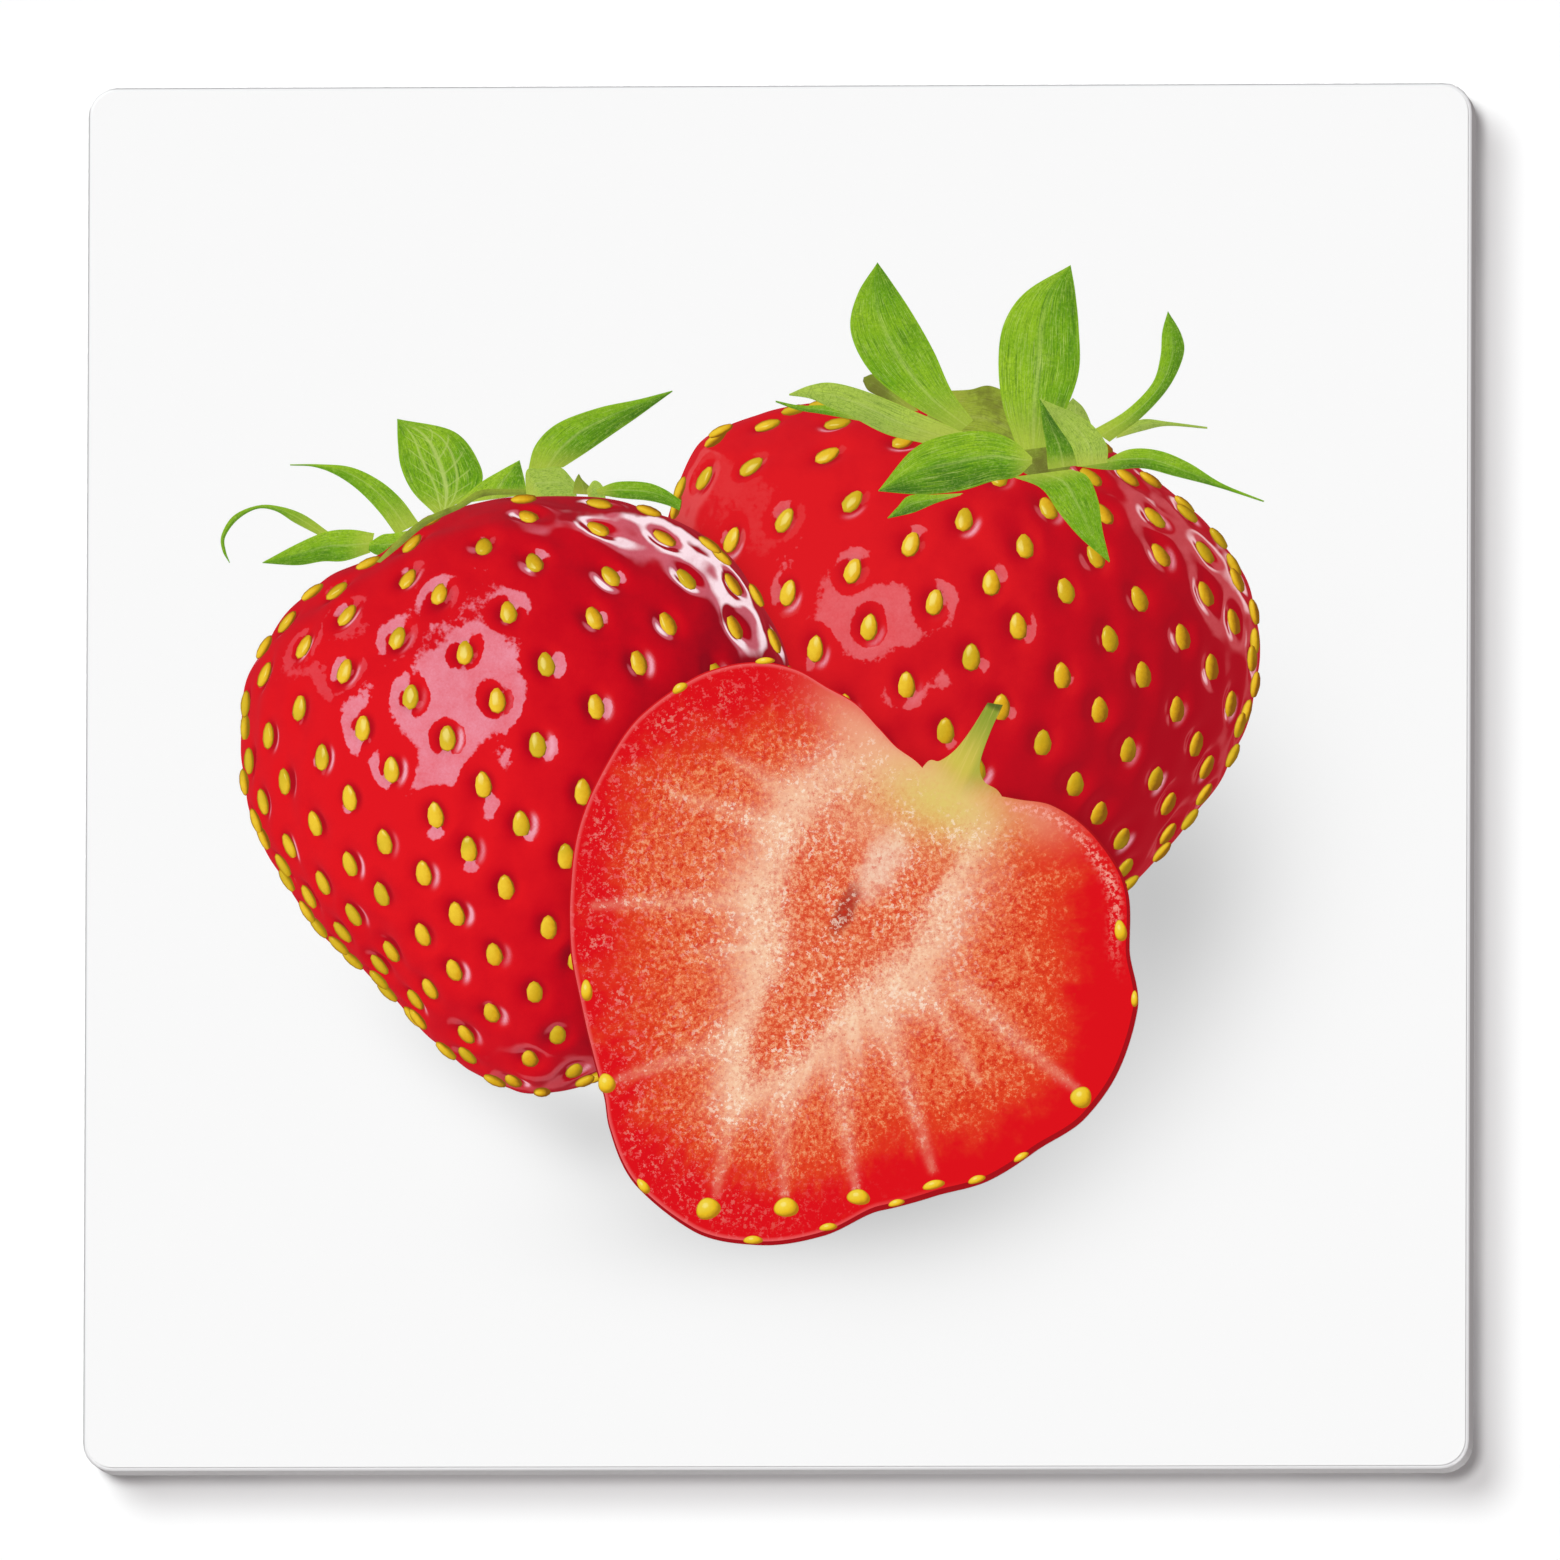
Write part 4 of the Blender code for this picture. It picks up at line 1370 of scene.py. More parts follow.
@dataclass(frozen=True)
class PrintedCover:
    """The white cover under the picture, with rounded corners and an eased front edge."""

    bed: PrintBed
    shadows: tuple[Blot, ...]
    corner: float = 0.0070
    edge: float = 0.00008

    def build(self) -> None:
        """Build the cover in the place of the plain film."""
        low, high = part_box("print_layer")
        sheet = bmesh.new()
        bmesh.ops.create_cube(sheet, size=1.0)
        size = Vector((high.x - low.x, high.y - self.bed.cover, high.z - low.z))
        bmesh.ops.scale(sheet, vec=size, verts=sheet.verts)
        middle = Vector((0.5 * (low.x + high.x), 0.5 * (high.y + self.bed.cover), 0.5 * (low.z + high.z)))
        bmesh.ops.translate(sheet, vec=middle, verts=sheet.verts)
        posts = [e for e in sheet.edges if abs(e.verts[0].co.y - e.verts[1].co.y) > 0.5 * size.y]
        settings = {"profile": 0.5, "affect": "EDGES", "material": -1}
        bmesh.ops.bevel(sheet, geom=posts, offset=self.corner, segments=12, **settings)
        ahead = min(face.calc_center_median().y for face in sheet.faces)
        face = next(f for f in sheet.faces if f.normal.y < -0.9 and f.calc_center_median().y < ahead + 1e-6)
        bmesh.ops.bevel(sheet, geom=list(face.edges), offset=self.edge, segments=2, **settings)
        bmesh.ops.recalc_face_normals(sheet, faces=sheet.faces)
        piece = InkPiece("printed_cover", self.bed)
        piece.take(sheet)
        cover = piece.finish(PaperInk(self.shadows, self.bed.scale).material())
        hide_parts("print_layer")


# ---------------------------------------------------------------- the picture


LEFT_BERRY = Outline(
    (-70.0, -3.3),
    (
        (0, 72.2), (12, 76.2), (24, 80.3), (36, 82.4), (48, 84.5), (60, 83.5), (72, 81.6), (84, 78.9),
        (96, 77.6), (108, 76.2), (120, 72.8), (132, 75.7), (144, 77.6), (156, 77.9), (168, 74.9), (180, 72.5),
        (192, 69.0), (204, 65.5), (216, 64.5), (228, 63.1), (240, 64.7), (252, 70.6), (264, 77.3), (276, 81.6),
        (288, 80.8), (300, 76.2), (312, 70.9), (324, 68.2), (336, 68.2), (348, 70.1),
    ),
)
RIGHT_BERRY = Outline(
    (52.8, 34.1),
    (
        (0, 76.0), (12, 74.9), (24, 71.7), (36, 67.7), (48, 65.0), (60, 64.2), (90, 64.2), (108, 70.1),
        (120, 76.5), (132, 84.8), (144, 92.0), (156, 89.6), (168, 85.6), (180, 81.6), (192, 77.6), (204, 74.9),
        (216, 72.8), (228, 72.8), (240, 74.4), (252, 76.2), (264, 77.6), (276, 80.3), (288, 80.3), (300, 76.8),
        (312, 74.6), (324, 73.8), (336, 74.9), (348, 75.7),
    ),
)
CUT_FACE = Outline(
    (20.7, -46.1),
    (
        (0, 72.5), (12, 73.8), (24, 70.9), (36, 65.0), (42, 59.4), (48, 55.1), (54, 50.8), (60, 49.5),
        (66, 50.3), (72, 52.7), (78, 54.8), (84, 59.4), (90, 65.5), (96, 70.1), (102, 76.2), (108, 80.3),
        (114, 82.7), (120, 84.0), (132, 84.5), (144, 82.4), (156, 80.3), (168, 77.3), (180, 75.4), (192, 74.1),
        (198, 74.4), (210, 76.8), (216, 80.3), (228, 85.1), (240, 85.6), (252, 81.9), (264, 75.7), (276, 68.8),
        (288, 68.0), (300, 70.1), (312, 71.2), (324, 75.2), (336, 76.5), (348, 76.2),
    ),
)
CUT_STALK = (
    ((33.0, -8.0), (39.7, 3.4), (43.4, 4.1), (47.5, 7.0), (51.6, 12.2), (56.2, 19.6)),
    ((63.0, -12.0), (59.4, -4.4), (55.3, -1.4), (54.2, 3.4), (56.8, 11.5), (60.2, 19.0)),
)
PITH = Outline(
    (17.5, -44.0),
    (
        (1, 24.7), (27, 33.7), (38, 46.5), (57, 50.0), (73, 49.0), (92, 45.0), (109, 37.5), (140, 27.0),
        (180, 22.3), (206, 25.4), (220, 35.3), (237, 48.4), (247, 40.0), (266, 25.0), (290, 20.0), (319, 18.7),
    ),
)


@dataclass(frozen=True)
class Picture:
    """The printed picture: two whole berries and a half, their leaves, and soft shadows on white."""

    bed: PrintBed

    def left_berry(self) -> WholeBerry:
        """The berry on the left, which lies over the one on the right."""
        light = (-0.55, -0.02, 0.83)
        skin = SkinInk(
            "left_skin_ink",
            light,
            deep=ink(146, 4, 24),
            red=ink(200, 6, 26),
            warm=ink(226, 20, 30),
            patches=(
                GlossPatch((-0.24, 0.30), (0.175, 0.29), -14.0, 0.3, 0.64, ink(241, 160, 178)),
                GlossPatch((-0.62, 0.48), (0.08, 0.16), -35.0, 0.5, 0.30, ink(240, 110, 120)),
                RimPatch(56.0, 36.0, 0.79, 0.95, 0.42, ink(236, 134, 152)),
                RimPatch(50.0, 33.0, 0.86, 0.965, 0.95, ink(253, 226, 233)),
                RimPatch(-80.0, 30.0, 0.86, 0.985, 0.25, ink(240, 120, 130)),
            ),
        )
        return WholeBerry(
            "left_berry", LEFT_BERRY, self.bed, skin, SeedInk("left_seed_ink", light), 0.30, 0.44,
            crown=(-0.10, -0.12, 1.0), covers=(CUT_FACE,), seeds=262, offset=0.4,
        )

    def right_berry(self) -> WholeBerry:
        """The berry on the right, behind the others."""
        light = (-0.60, 0.32, 0.74)
        skin = SkinInk(
            "right_skin_ink",
            light,
            deep=ink(166, 8, 26),
            red=ink(196, 10, 28),
            warm=ink(222, 24, 32),
            patches=(
                GlossPatch((-0.28, 0.08), (0.19, 0.15), -12.0, 0.4, 0.46, ink(238, 132, 138)),
                GlossPatch((-0.62, 0.42), (0.12, 0.20), -30.0, 0.6, 0.22, ink(232, 92, 92)),
                RimPatch(28.0, 30.0, 0.82, 0.97, 0.34, ink(232, 118, 124)),
                RimPatch(24.0, 22.0, 0.90, 0.985, 0.80, ink(248, 200, 204)),
                RimPatch(-15.0, 30.0, 0.92, 0.99, 0.22, ink(232, 120, 124)),
                RimPatch(160.0, 26.0, 0.84, 0.97, 0.30, ink(240, 120, 120)),
            ),
        )
        return WholeBerry(
            "right_berry", RIGHT_BERRY, self.bed, skin, SeedInk("right_seed_ink", light), 0.02, 0.16,
            crown=(0.02, -0.35, 1.0), covers=(LEFT_BERRY, CUT_FACE), seeds=262, offset=2.1,
            seed_half=(2.45, 3.8, 1.3), glint_turn=-0.7, glints=-0.25,
        )

    def cut_berry(self) -> CutBerry:
        """The half berry in front."""
        ripe = SkinInk(
            "cut_rim_ink", (-0.3, 0.5, 0.6), deep=ink(150, 10, 18), red=ink(206, 10, 20),
            warm=ink(232, 40, 40), patches=(), sheen=ink(206, 30, 40),
        )
        face = CutInk(
            self.bed.scale,
            rims=(
                Blot((-12.0, 20.0), (22.0, 14.0), 10.0, 0.9),
                Blot((86.0, -62.0), (17.0, 34.0), 8.0, 1.1),
                Blot((34.0, -108.0), (62.0, 12.0), 14.0, 0.95),
                Blot((-26.0, -108.0), (26.0, 13.0), -38.0, 0.75),
                Blot((-46.0, -34.0), (9.0, 34.0), 4.0, 0.6),
            ),
            pales=(
                Blot((23.0, 11.0), (15.0, 6.5), -48.0, 0.72),
                Blot((69.0, -11.0), (10.0, 6.0), -30.0, 0.45),
                Blot((58.0, -22.0), (5.0, 13.0), 0.0, 0.20),
                Blot((25.0, -11.0), (17.0, 9.0), -15.0, 0.42),
                Blot((36.0, -2.0), (20.0, 8.0), -38.0, 0.35),
            ),
            stalk_glow=Blot((44.0, -6.0), (17.0, 10.0), -20.0, 0.95),
            heart=Blot((28.0, -23.5), (14.5, 6.6), 58.0, 1.0),
            crack=Blot((18.4, -35.5), (8.5, 3.2), 66.0, 1.0),
            stalk_foot=(45.7, -7.4),
            stalk_end=(58.2, 19.0),
        )
        fibres = (
            ((-7.4, -32.5), (-26.4, -33.2), (-48.7, -34.3)),
            ((-11.6, -70.1), (-26.4, -75.3), (-42.3, -80.8)),
            ((-1.0, -12.9), (-13.7, -8.7), (-27.5, -5.0)),
            ((4.3, -5.5), (-5.3, 0.8), (-13.7, 6.1)),
            ((-8.4, -77.5), (-12.7, -93.3), (-15.9, -111.3)),
            ((4.3, -81.7), (1.6, -95.4), (2.3, -111.3)),
            ((15.9, -77.5), (18.5, -94.4), (21.4, -109.7)),
            ((29.6, -66.9), (34.9, -82.8), (41.8, -105.0)),
            ((40.2, -57.4), (47.6, -70.1), (54.0, -81.7)),
            ((49.8, -57.4), (63.5, -70.1), (80.4, -83.8)),
        )
        seeds = (
            (-50.7, -56.9, 1.5, 2.9, 5.0), (-45.3, -81.7, 2.3, 2.7, 20.0), (-35.4, -109.2, 1.2, 2.4, 40.0),
            (-18.1, -115.2, 3.3, 2.9, 20.0), (-6.0, -123.6, 2.6, 1.1, 0.0), (2.8, -114.9, 3.3, 2.6, 0.0),
            (14.0, -120.2, 2.4, 1.0, 8.0), (22.1, -112.2, 3.1, 2.1, -8.0), (32.2, -113.8, 2.2, 0.9, 14.0),
            (42.1, -109.0, 3.0, 1.2, 14.0), (53.6, -107.6, 2.4, 1.0, 18.0), (65.4, -101.6, 2.2, 0.9, 30.0),
            (81.5, -85.7, 2.8, 2.9, -30.0), (91.8, -41.3, 1.6, 2.9, 10.0), (95.6, -59.5, 0.9, 2.2, 0.0),
            (-3.3, 31.0, 2.6, 0.9, 4.0), (-26.1, 23.8, 2.2, 1.2, 30.0),
        )
        seed_ink = SeedInk(
            "cut_seed_ink", (-0.4, 0.4, 0.8), bright=ink(246, 214, 66), yellow=ink(238, 192, 34),
            brown=ink(176, 120, 20), tinted=0.1,
        )
        return CutBerry(
            "cut_berry", self.bed, CUT_FACE, CUT_STALK, PITH, fibres, seeds, face, ripe, seed_ink, 0.62
        )

    def left_calyx(self) -> Calyx:
        """Sepals of the left berry."""
        behind = (
            Blade(
                ((-119.6, 65.4), (-126.7, 70.4), (-133.4, 72.7), (-139.3, 72.9), (-145.6, 70.2),
                 (-148.8, 65.0), (-148.5, 60.8), (-146.6, 57.5)),
                ((-123.0, 65.0), (-129.3, 68.3), (-134.3, 71.4), (-139.3, 72.0), (-144.5, 69.1),
                 (-147.8, 64.5), (-147.6, 60.8), (-146.5, 57.7)),
                tone=-0.04,
            ),
            Blade(
                ((-107.9, 65.4), (-114.2, 66.4), (-120.9, 65.8), (-128.4, 62.7), (-137.8, 57.7)),
                ((-109.0, 60.2), (-115.9, 58.0), (-121.7, 57.9), (-128.4, 56.9), (-137.8, 57.5)),
            ),
            Blade(
                ((-96.0, 68.1), (-100.8, 74.6), (-106.7, 79.6), (-114.2, 83.1), (-122.6, 83.9),
                 (-130.5, 83.9)),
                ((-102.1, 65.0), (-106.7, 71.2), (-112.5, 77.1), (-118.4, 81.1), (-124.2, 83.2),
                 (-130.5, 83.6)),
                tone=0.05,
            ),
            Blade(
                ((-98.3, 66.2), (-102.5, 65.4), (-105.8, 65.0), (-109.2, 62.9)),
                ((-101.7, 59.5), (-105.0, 59.4), (-107.5, 59.7), (-109.4, 60.8)),
            ),
            Blade(
                ((-91.2, 70.0), (-97.5, 76.2), (-100.8, 82.9), (-101.7, 89.6), (-101.9, 96.0)),
                ((-87.0, 72.5), (-79.8, 77.5), (-79.8, 83.8), (-86.6, 92.5), (-101.9, 96.0)),
                SepalKind.VEINED, cup=0.25, tone=-0.02,
            ),
            Blade(
                ((-67.0, 81.4), (-64.9, 88.8), (-59.0, 94.6), (-48.2, 98.7), (-37.3, 101.0), (-28.3, 103.3)),
                ((-57.4, 82.9), (-51.5, 86.7), (-44.8, 91.3), (-38.1, 95.9), (-32.3, 100.1), (-28.3, 103.0)),
                tone=-0.10,
            ),
            Blade(
                ((-67.4, 75.8), (-67.2, 82.1), (-63.2, 82.6), (-58.2, 82.9), (-54.2, 78.8)),
                ((-63.2, 74.2), (-62.4, 74.7), (-60.7, 74.9), (-57.4, 74.9), (-53.8, 75.2)),
                SepalKind.PALE, cup=0.2,
            ),
            Blade(
                ((-54.8, 75.8), (-54.4, 78.8), (-53.8, 80.3), (-53.3, 81.1)),
                ((-48.6, 75.4), (-50.2, 77.5), (-52.3, 79.6), (-53.2, 81.1)),
                SepalKind.DRY, tone=-0.2,
            ),
            Blade(
                ((-51.1, 76.9), (-49.4, 79.2), (-47.7, 78.8), (-46.3, 76.9)),
                ((-50.7, 74.6), (-49.0, 74.7), (-47.3, 74.7), (-46.1, 74.6)),
                SepalKind.PALE,
            ),
            Blade(
                ((-86.2, 73.1), (-79.9, 78.6), (-74.1, 82.1), (-69.2, 84.8)),
                ((-67.2, 75.6), (-67.7, 79.2), (-68.4, 82.1), (-69.1, 84.8)),
                tone=0.08,
            ),
        )
        before = (
            Blade(
                ((-107.3, 57.7), (-101.7, 63.5), (-95.0, 69.1), (-85.8, 73.1), (-79.1, 76.9), (-67.4, 76.9)),
                ((-106.3, 57.5), (-100.7, 62.0), (-93.7, 67.7), (-84.9, 71.9), (-78.3, 75.2), (-67.4, 75.6)),
                SepalKind.DRY, tone=-0.1,
            ),
            Blade(
                ((-48.6, 76.9), (-43.1, 78.9), (-35.6, 78.8), (-30.6, 77.1), (-25.8, 73.9)),
                ((-48.2, 75.6), (-42.3, 74.6), (-34.8, 73.9), (-29.8, 72.7), (-26.3, 71.2)),
                tone=-0.12,
            ),
        )
        return Calyx("left_calyx", self.bed, behind, before, 0.18, 0.50)

    def right_calyx(self) -> Calyx:
        """Sepals of the right berry."""
        before = (
            Blade(
                ((73.4, 90.6), (75.6, 96.8), (77.4, 99.4), (78.7, 101.0)),
                ((84.5, 90.6), (83.2, 95.0), (81.4, 98.5), (78.7, 101.0)),
                SepalKind.PALE, tone=-0.2,
            ),
            Blade(
                ((37.5, 97.6), (30.8, 103.9), (25.9, 107.4), (22.8, 106.7)),
                ((34.4, 97.6), (28.6, 100.8), (24.2, 103.0), (22.6, 105.6)),
                SepalKind.DRY, tone=-0.15,
            ),
            Blade(
                ((45.0, 103.0), (51.2, 103.3), (56.5, 104.3), (62.7, 101.2), (71.6, 93.2), (80.5, 88.8)),
                ((37.0, 92.8), (45.0, 88.8), (53.9, 87.0), (62.7, 83.5), (70.7, 80.8), (77.8, 81.9)),
                SepalKind.DRY, cup=0.3, tone=0.12,
            ),
            Blade(
                ((92.0, 92.8), (97.3, 95.2), (104.4, 94.5), (114.6, 93.1)),
                ((90.2, 90.1), (97.3, 92.1), (104.0, 93.4), (114.6, 92.6)),
                SepalKind.PALE, tone=-0.08,
            ),
            Blade(
                ((84.0, 92.3), (92.9, 97.6), (99.8, 104.7), (102.0, 111.8), (102.5, 118.5), (104.0, 124.1)),
                ((88.5, 89.2), (97.3, 95.9), (104.4, 103.9), (108.2, 112.3), (107.6, 117.9), (104.0, 124.1)),
            ),
            Blade(
                ((21.9, 96.8), (13.1, 99.1), (6.0, 99.2), (-0.7, 100.5)),
                ((21.9, 95.0), (12.2, 96.8), (5.1, 98.0), (-0.7, 100.1)),
                tone=-0.12,
            ),
            Blade(
                ((49.4, 92.1), (37.9, 96.9), (24.6, 102.5), (14.8, 105.2), (8.6, 104.6), (2.9, 102.3)),
                ((39.7, 88.8), (29.0, 91.4), (19.3, 96.3), (13.5, 98.7), (8.6, 101.0), (2.9, 101.9)),
                SepalKind.PALE, tone=0.05,
            ),
            Blade(
                ((48.6, 92.1), (35.2, 99.4), (24.6, 108.1), (19.3, 118.9), (21.0, 128.7), (26.4, 137.4)),
                ((52.1, 95.0), (46.3, 103.0), (41.5, 113.6), (35.7, 123.8), (30.4, 131.8), (26.4, 137.4)),
                cup=0.4,
            ),
            Blade(
                ((59.2, 90.1), (62.7, 88.8), (66.3, 87.0), (71.6, 88.8)),
                ((61.0, 85.2), (64.5, 81.9), (68.1, 79.9), (72.1, 80.1)),
                SepalKind.DRY, tone=-0.35,
            ),
            Blade(
                ((64.1, 87.0), (59.9, 99.4), (58.8, 111.8), (60.5, 121.6), (66.3, 129.6), (78.0, 136.5)),
                ((72.1, 87.9), (76.8, 97.6), (80.3, 108.3), (80.2, 119.8), (79.2, 129.6), (78.0, 136.5)),
                cup=0.35, tone=0.04,
            ),
            Blade(
                ((86.7, 83.9), (93.8, 87.2), (101.8, 86.8), (109.8, 83.5), (118.6, 78.0), (129.9, 73.3)),
                ((77.8, 83.0), (88.5, 81.7), (97.3, 82.1), (106.2, 79.9), (116.9, 77.1), (129.6, 73.0)),
                cup=0.7,
            ),
            Blade(
                ((49.4, 75.6), (42.3, 75.3), (35.2, 75.0), (31.9, 71.9), (29.3, 69.1)),
                ((48.6, 75.0), (42.3, 73.0), (36.6, 70.6), (32.6, 69.6), (29.3, 68.9)),
                tone=-0.08,
            ),
            Blade(
                ((62.7, 79.9), (70.3, 76.8), (75.2, 70.1), (80.9, 63.5), (88.5, 57.0)),
                ((78.3, 81.9), (82.7, 79.9), (85.5, 73.7), (86.7, 65.7), (88.7, 57.3)),
            ),
            Blade(
                ((67.9, 85.1), (62.7, 89.7), (55.6, 92.1), (45.9, 91.4), (36.1, 87.4), (26.8, 76.4)),
                ((67.9, 83.5), (63.6, 79.9), (57.4, 78.8), (48.6, 76.2), (37.9, 75.3), (26.8, 76.2)),
                cup=0.65, tone=-0.06,
            ),
            Blade(
                ((72.1, 81.9), (71.6, 87.9), (70.7, 93.2), (69.7, 101.0)),
                ((80.5, 83.0), (78.7, 87.9), (75.2, 93.2), (69.7, 101.0)),
                tone=-0.25,
            ),
            Blade(
                ((80.0, 82.6), (78.4, 87.9), (74.9, 93.2), (69.7, 101.0)),
                ((88.0, 83.6), (87.6, 88.8), (81.8, 95.4), (69.7, 101.0)),
                SepalKind.PALE, tone=0.05,
            ),
        )
        return Calyx("right_calyx", self.bed, (), before, 0.20, 0.22, step=0.009)

    def shadows(self) -> tuple[Blot, ...]:
        """Soft shadows of the fruit on the white ground."""
        return (
            Blot((92.0, -20.0), (44.0, 36.0), 65.0, 0.44),
            Blot((104.0, -40.0), (36.0, 28.0), 60.0, 0.26),
            Blot((64.0, -92.0), (46.0, 26.0), 32.0, 0.44),
            Blot((6.0, -114.0), (46.0, 16.0), 5.0, 0.52),
            Blot((-44.0, -94.0), (19.0, 13.0), -15.0, 0.36),
            Blot((-76.0, -75.0), (30.0, 12.0), -35.0, 0.32),
        )

    def build(self) -> None:
        """Build the cover and everything printed on it."""
        PrintedCover(self.bed, self.shadows()).build()
        self.right_berry().build()
        self.right_calyx().build()
        self.left_calyx().build()
        self.left_berry().build()
        self.cut_berry().build()


# ---------------------------------------------------------------- hardware, stage, lights, camera


class Finish(Enum):
    """Finishes of the bought and folded parts."""

    COAT = CoatedSteel()
    ZINC = ZincPlate()
    RIVET = RivetMetal()
    RUBBER = BumperRubber()
    FOAM = FoamTape()


@dataclass(frozen=True)
class Hardware:
    """The folded tray and everything fixed behind it."""

    families: tuple[tuple[str, Finish], ...] = (
        ("front_tray", Finish.COAT),
        ("corner_plate", Finish.ZINC),
        ("hanger_plate", Finish.ZINC),
        ("stiffener_rail", Finish.ZINC),
        ("hanger_rivet", Finish.RIVET),
        ("corner_rivet", Finish.RIVET),
        ("bumper", Finish.RUBBER),
        ("mounting_tape", Finish.FOAM),
    )

    def dress(self, nodes: dict[str, bpy.types.Object]) -> None:
        """Give every part its finish.

        Args:
            nodes: The frame's parts by name.
        """
        for family, finish in self.families:
            material = finish.value.material()
            members = [part for name, part in sorted(nodes.items()) if name.startswith(family)]
            for part in members:
                part.data.materials.clear()
                part.data.materials.append(material)
            log.info("%s: %d dressed", family, len(members))


@dataclass(frozen=True)
class Stage:
    """Pale wall behind the board and pale floor well below it."""

    wall_gap: float = 0.0008
    wall_half: float = 3.0
    floor_drop: float = 0.60
    floor_half: float = 4.0
    pale: Colour = (0.93, 0.93, 0.93)

    def plane(self, name: str, half: float, place: Vector, upright: bool) -> bpy.types.Object:
        """Square plane with its front up, or towards the viewer.

        Args:
            name: Its name.
            half: Half its side.
            place: Its middle.
            upright: Whether it stands.

        Returns:
            The plane.
        """
        sheet = bmesh.new()
        bmesh.ops.create_grid(sheet, x_segments=1, y_segments=1, size=half)
        if upright:
            for point in sheet.verts:
                point.co = Vector((point.co.x, 0.0, point.co.y))
        bmesh.ops.translate(sheet, vec=place, verts=sheet.verts)
        for face in sheet.faces:
            face.normal_update()
            if upright and face.normal.y > 0.0:
                face.normal_flip()
        shape = bpy.data.meshes.new(name)
        sheet.to_mesh(shape)
        sheet.free()
        made = bpy.data.objects.new(name, shape)
        bpy.context.scene.collection.objects.link(made)
        return made

    def wall_paint(self) -> bpy.types.Material:
        """White wall that can't be seen from behind."""
        recipe = Recipe("wall_paint")
        where = recipe.place()
        colour = recipe.mix(recipe.grain(where, 3.0), self.pale, tuple(0.995 * part for part in self.pale))
        paint = recipe.node("ShaderNodeBsdfDiffuse", {}, {"Color": colour})
        clear = recipe.node("ShaderNodeBsdfTransparent", {}, {})
        behind = recipe.node("ShaderNodeNewGeometry", {}, {}).outputs["Backfacing"]
        sides = (behind, paint.outputs[0], clear.outputs[0])
        sockets = {place: Wire(recipe, side) for place, side in enumerate(sides)}
        both = recipe.node("ShaderNodeMixShader", {}, sockets)
        recipe.node("ShaderNodeOutputMaterial", {}, {"Surface": Wire(recipe, both.outputs[0])})
        return recipe.material

    def floor_paint(self) -> bpy.types.Material:
        """Pale floor."""
        recipe = Recipe("floor_paint")
        colour = recipe.mix(recipe.grain(recipe.place(), 2.0), self.pale, (0.90, 0.90, 0.90))
        return recipe.finish({"Base Color": colour, "Roughness": 0.8})

    def build(self) -> None:
        """Build the wall and the floor."""
        wall = self.plane("wall", self.wall_half, Vector((0.0, self.wall_gap, 1.5)), True)
        wall.data.materials.append(self.wall_paint())
        wall.visible_shadow = wall.visible_diffuse = False
        wall.visible_glossy = wall.visible_transmission = False
        floor = self.plane("floor", self.floor_half, Vector((0.0, 0.0, -self.floor_drop)), False)
        floor.data.materials.append(self.floor_paint())
        floor.visible_diffuse = floor.visible_shadow = False


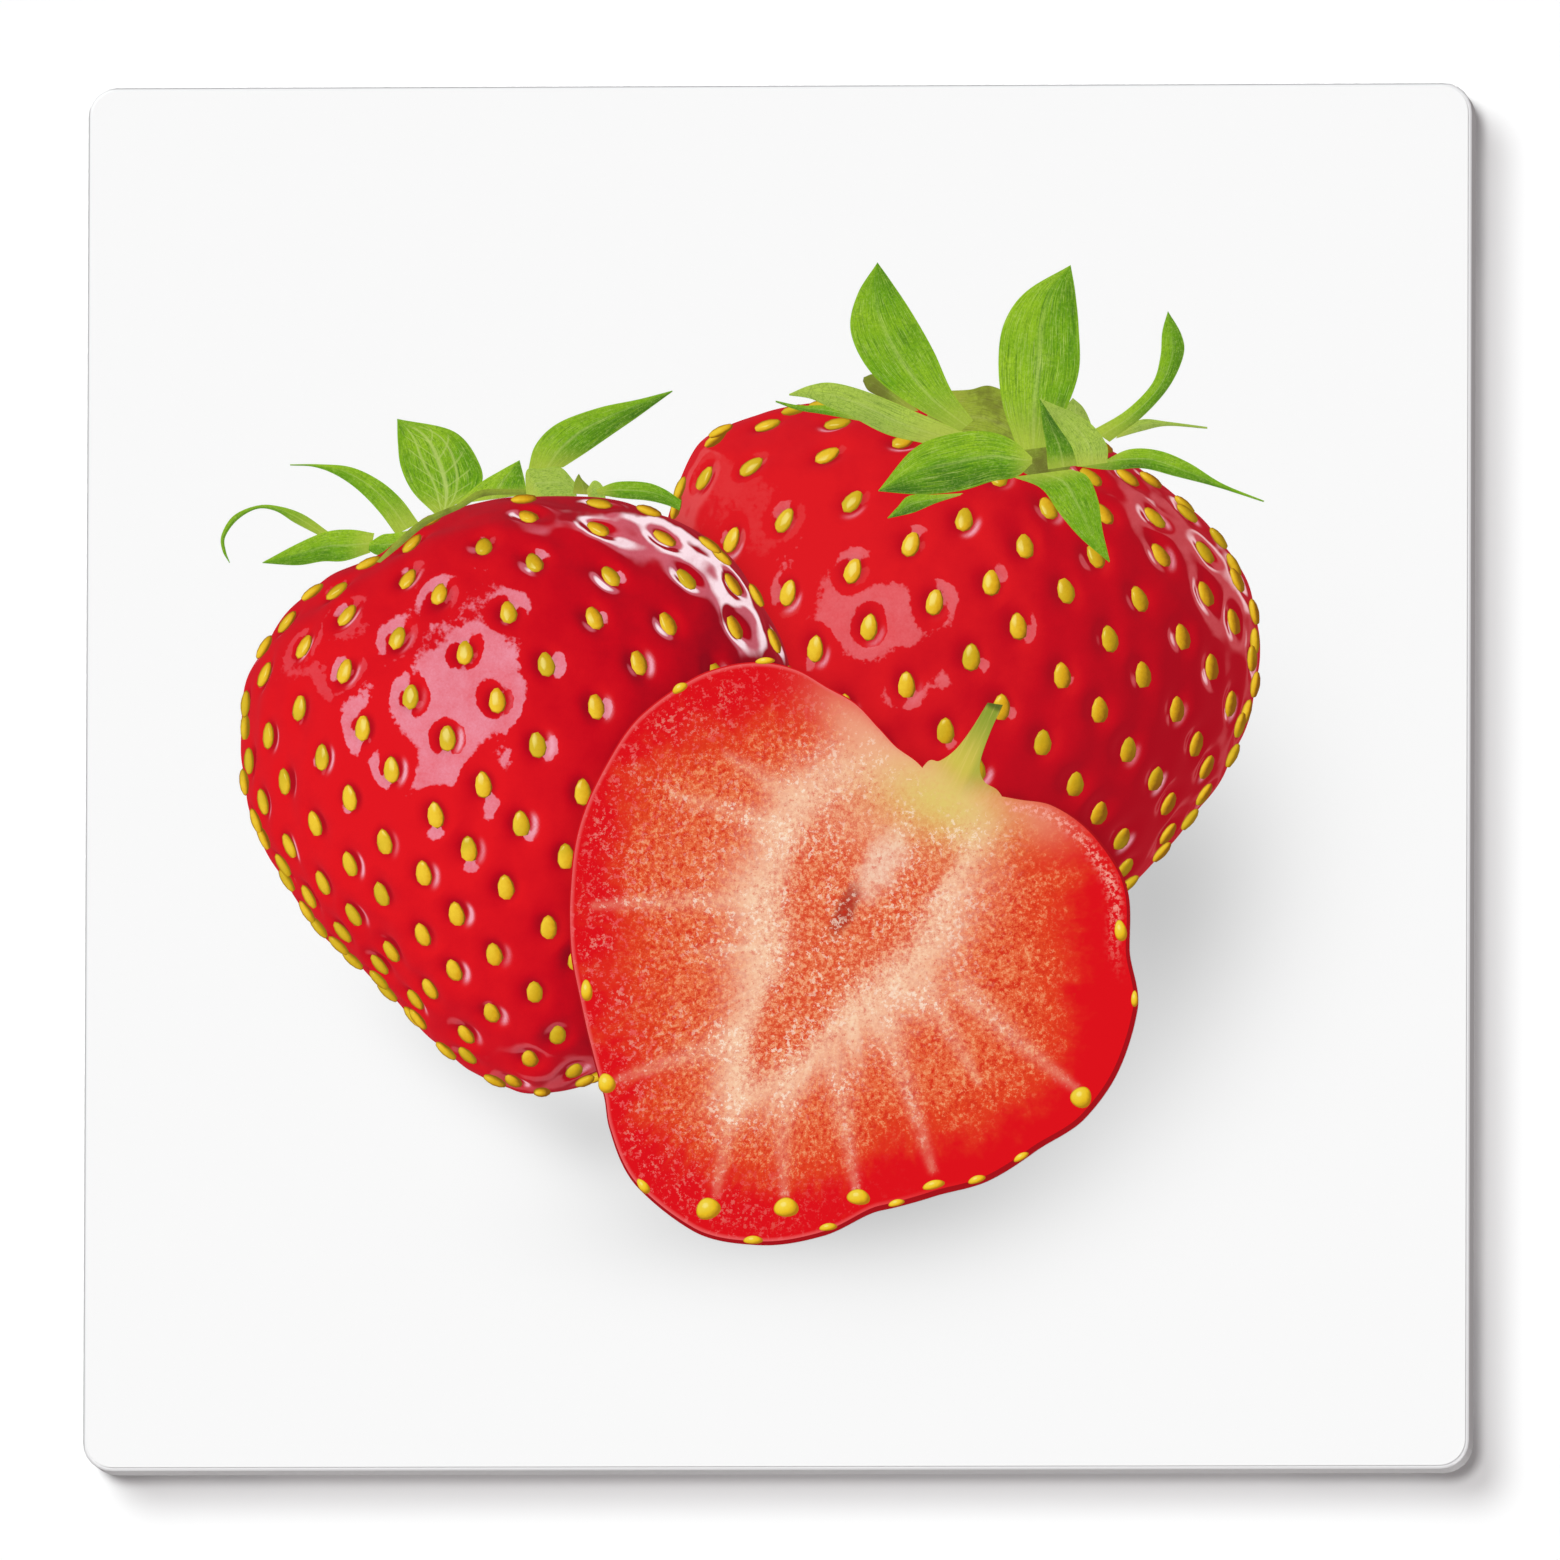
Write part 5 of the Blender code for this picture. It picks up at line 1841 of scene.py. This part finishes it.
@dataclass(frozen=True)
class Lamps:
    """Soft studio lamps in front, beside and behind, in pale surroundings."""

    main_from: tuple[float, float, float] = (-0.37, -1.0, 0.37)
    main_strength: float = 1.775
    main_soft: float = 27.0
    near_from: tuple[float, float, float] = (-0.075, -1.0, 0.075)
    near_strength: float = 1.30
    near_soft: float = 8.6
    side_from: tuple[float, float, float] = (0.7, -0.05, -0.7)
    side_strength: float = 0.98
    side_soft: float = 20.0
    back_from: tuple[float, float, float] = (-0.3, 1.0, 0.4)
    back_strength: float = 1.7
    back_soft: float = 40.0
    around: float = 0.185
    backdrop: float = 0.72                  # how bright the surroundings look past the wall
    warm: Colour = (1.0, 0.89, 0.895)       # tint of the surroundings, and of the main lamp that balances it
    cool: Colour = (0.961, 1.0, 0.998)

    def sun(
        self, name: str, source: tuple[float, float, float], strength: float, soft: float, colour: Colour
    ) -> None:
        """A distant lamp.

        Args:
            name: Its name.
            source: Direction that its light comes from.
            strength: Light on a square metre that faces it.
            soft: Width of its disc in degrees.
            colour: Tint of its light.
        """
        lamp = bpy.data.lights.new(name, "SUN")
        lamp.energy, lamp.angle, lamp.color = strength, math.radians(soft), colour
        made = bpy.data.objects.new(name, lamp)
        made.rotation_euler = Vector(source).to_track_quat("Z", "Y").to_euler()
        bpy.context.scene.collection.objects.link(made)

    def build(self) -> None:
        """Set the lamps and the surroundings."""
        self.sun("main_lamp", self.main_from, self.main_strength, self.main_soft, self.cool)
        self.sun("near_lamp", self.near_from, self.near_strength, self.near_soft, WHITE)
        self.sun("side_lamp", self.side_from, self.side_strength, self.side_soft, WHITE)
        self.sun("back_lamp", self.back_from, self.back_strength, self.back_soft, WHITE)
        world = bpy.data.worlds.new("studio")
        world.use_nodes = True
        tree = world.node_tree
        glow, backdrop = tree.nodes["Background"], tree.nodes.new("ShaderNodeBackground")
        for node, colour, strength in ((glow, self.warm, self.around), (backdrop, WHITE, self.backdrop)):
            node.inputs["Color"].default_value = (*colour, 1.0)
            node.inputs["Strength"].default_value = strength
        seen, choice = tree.nodes.new("ShaderNodeLightPath"), tree.nodes.new("ShaderNodeMixShader")
        tree.links.new(seen.outputs["Is Camera Ray"], choice.inputs[0])
        tree.links.new(glow.outputs[0], choice.inputs[1])
        tree.links.new(backdrop.outputs[0], choice.inputs[2])
        tree.links.new(choice.outputs[0], tree.nodes["World Output"].inputs["Surface"])
        bpy.context.scene.world = world
        bpy.context.scene.view_settings.view_transform = "Standard"


@dataclass(frozen=True)
class Viewpoint:
    """Long lens, a little to the right of the board's middle and a little below it."""

    lens: float = 1200.0
    shown: float = 0.4158           # width of board and wall in the frame
    turn: float = 4.4               # degrees to the right of straight ahead
    drop: float = 4.4               # degrees below it
    roll: float = 0.18
    aim: tuple[float, float, float] = (-0.0001, -0.0117, 0.0000)

    def build(self) -> None:
        """Place the camera and make it the scene's."""
        eye = bpy.data.cameras.new("camera")
        eye.lens, eye.sensor_width = self.lens, 36.0
        eye.clip_start, eye.clip_end = 0.5, 60.0
        distance = self.lens / eye.sensor_width * self.shown
        turn, drop = math.radians(self.turn), math.radians(self.drop)
        away = Vector((math.sin(turn) * math.cos(drop), -math.cos(turn) * math.cos(drop), -math.sin(drop)))
        made = bpy.data.objects.new("camera", eye)
        made.location = Vector(self.aim) + away * distance
        spin = Quaternion(away, math.radians(self.roll))
        made.rotation_euler = (spin @ away.to_track_quat("Z", "Y")).to_euler()
        bpy.context.scene.collection.objects.link(made)
        bpy.context.scene.camera = made


def main() -> None:
    """Build the picture on the board, dress the board, and set the studio round it."""
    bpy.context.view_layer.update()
    board_low, board_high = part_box("front_tray")
    film_low, film_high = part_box("print_layer")
    cover = film_high.y - (1.0 - INK_ROOM) * (film_high.y - film_low.y)
    bed = PrintBed((board_high.x - board_low.x) / DRAWN_SIDE, cover, film_low.y)
    Picture(bed).build()
    Hardware().dress(frame["nodes"])
    Stage().build()
    Lamps().build()
    Viewpoint().build()


if __name__ == "__main__":
    logging.basicConfig(level=logging.INFO, format="%(name)s: %(message)s")
    main()
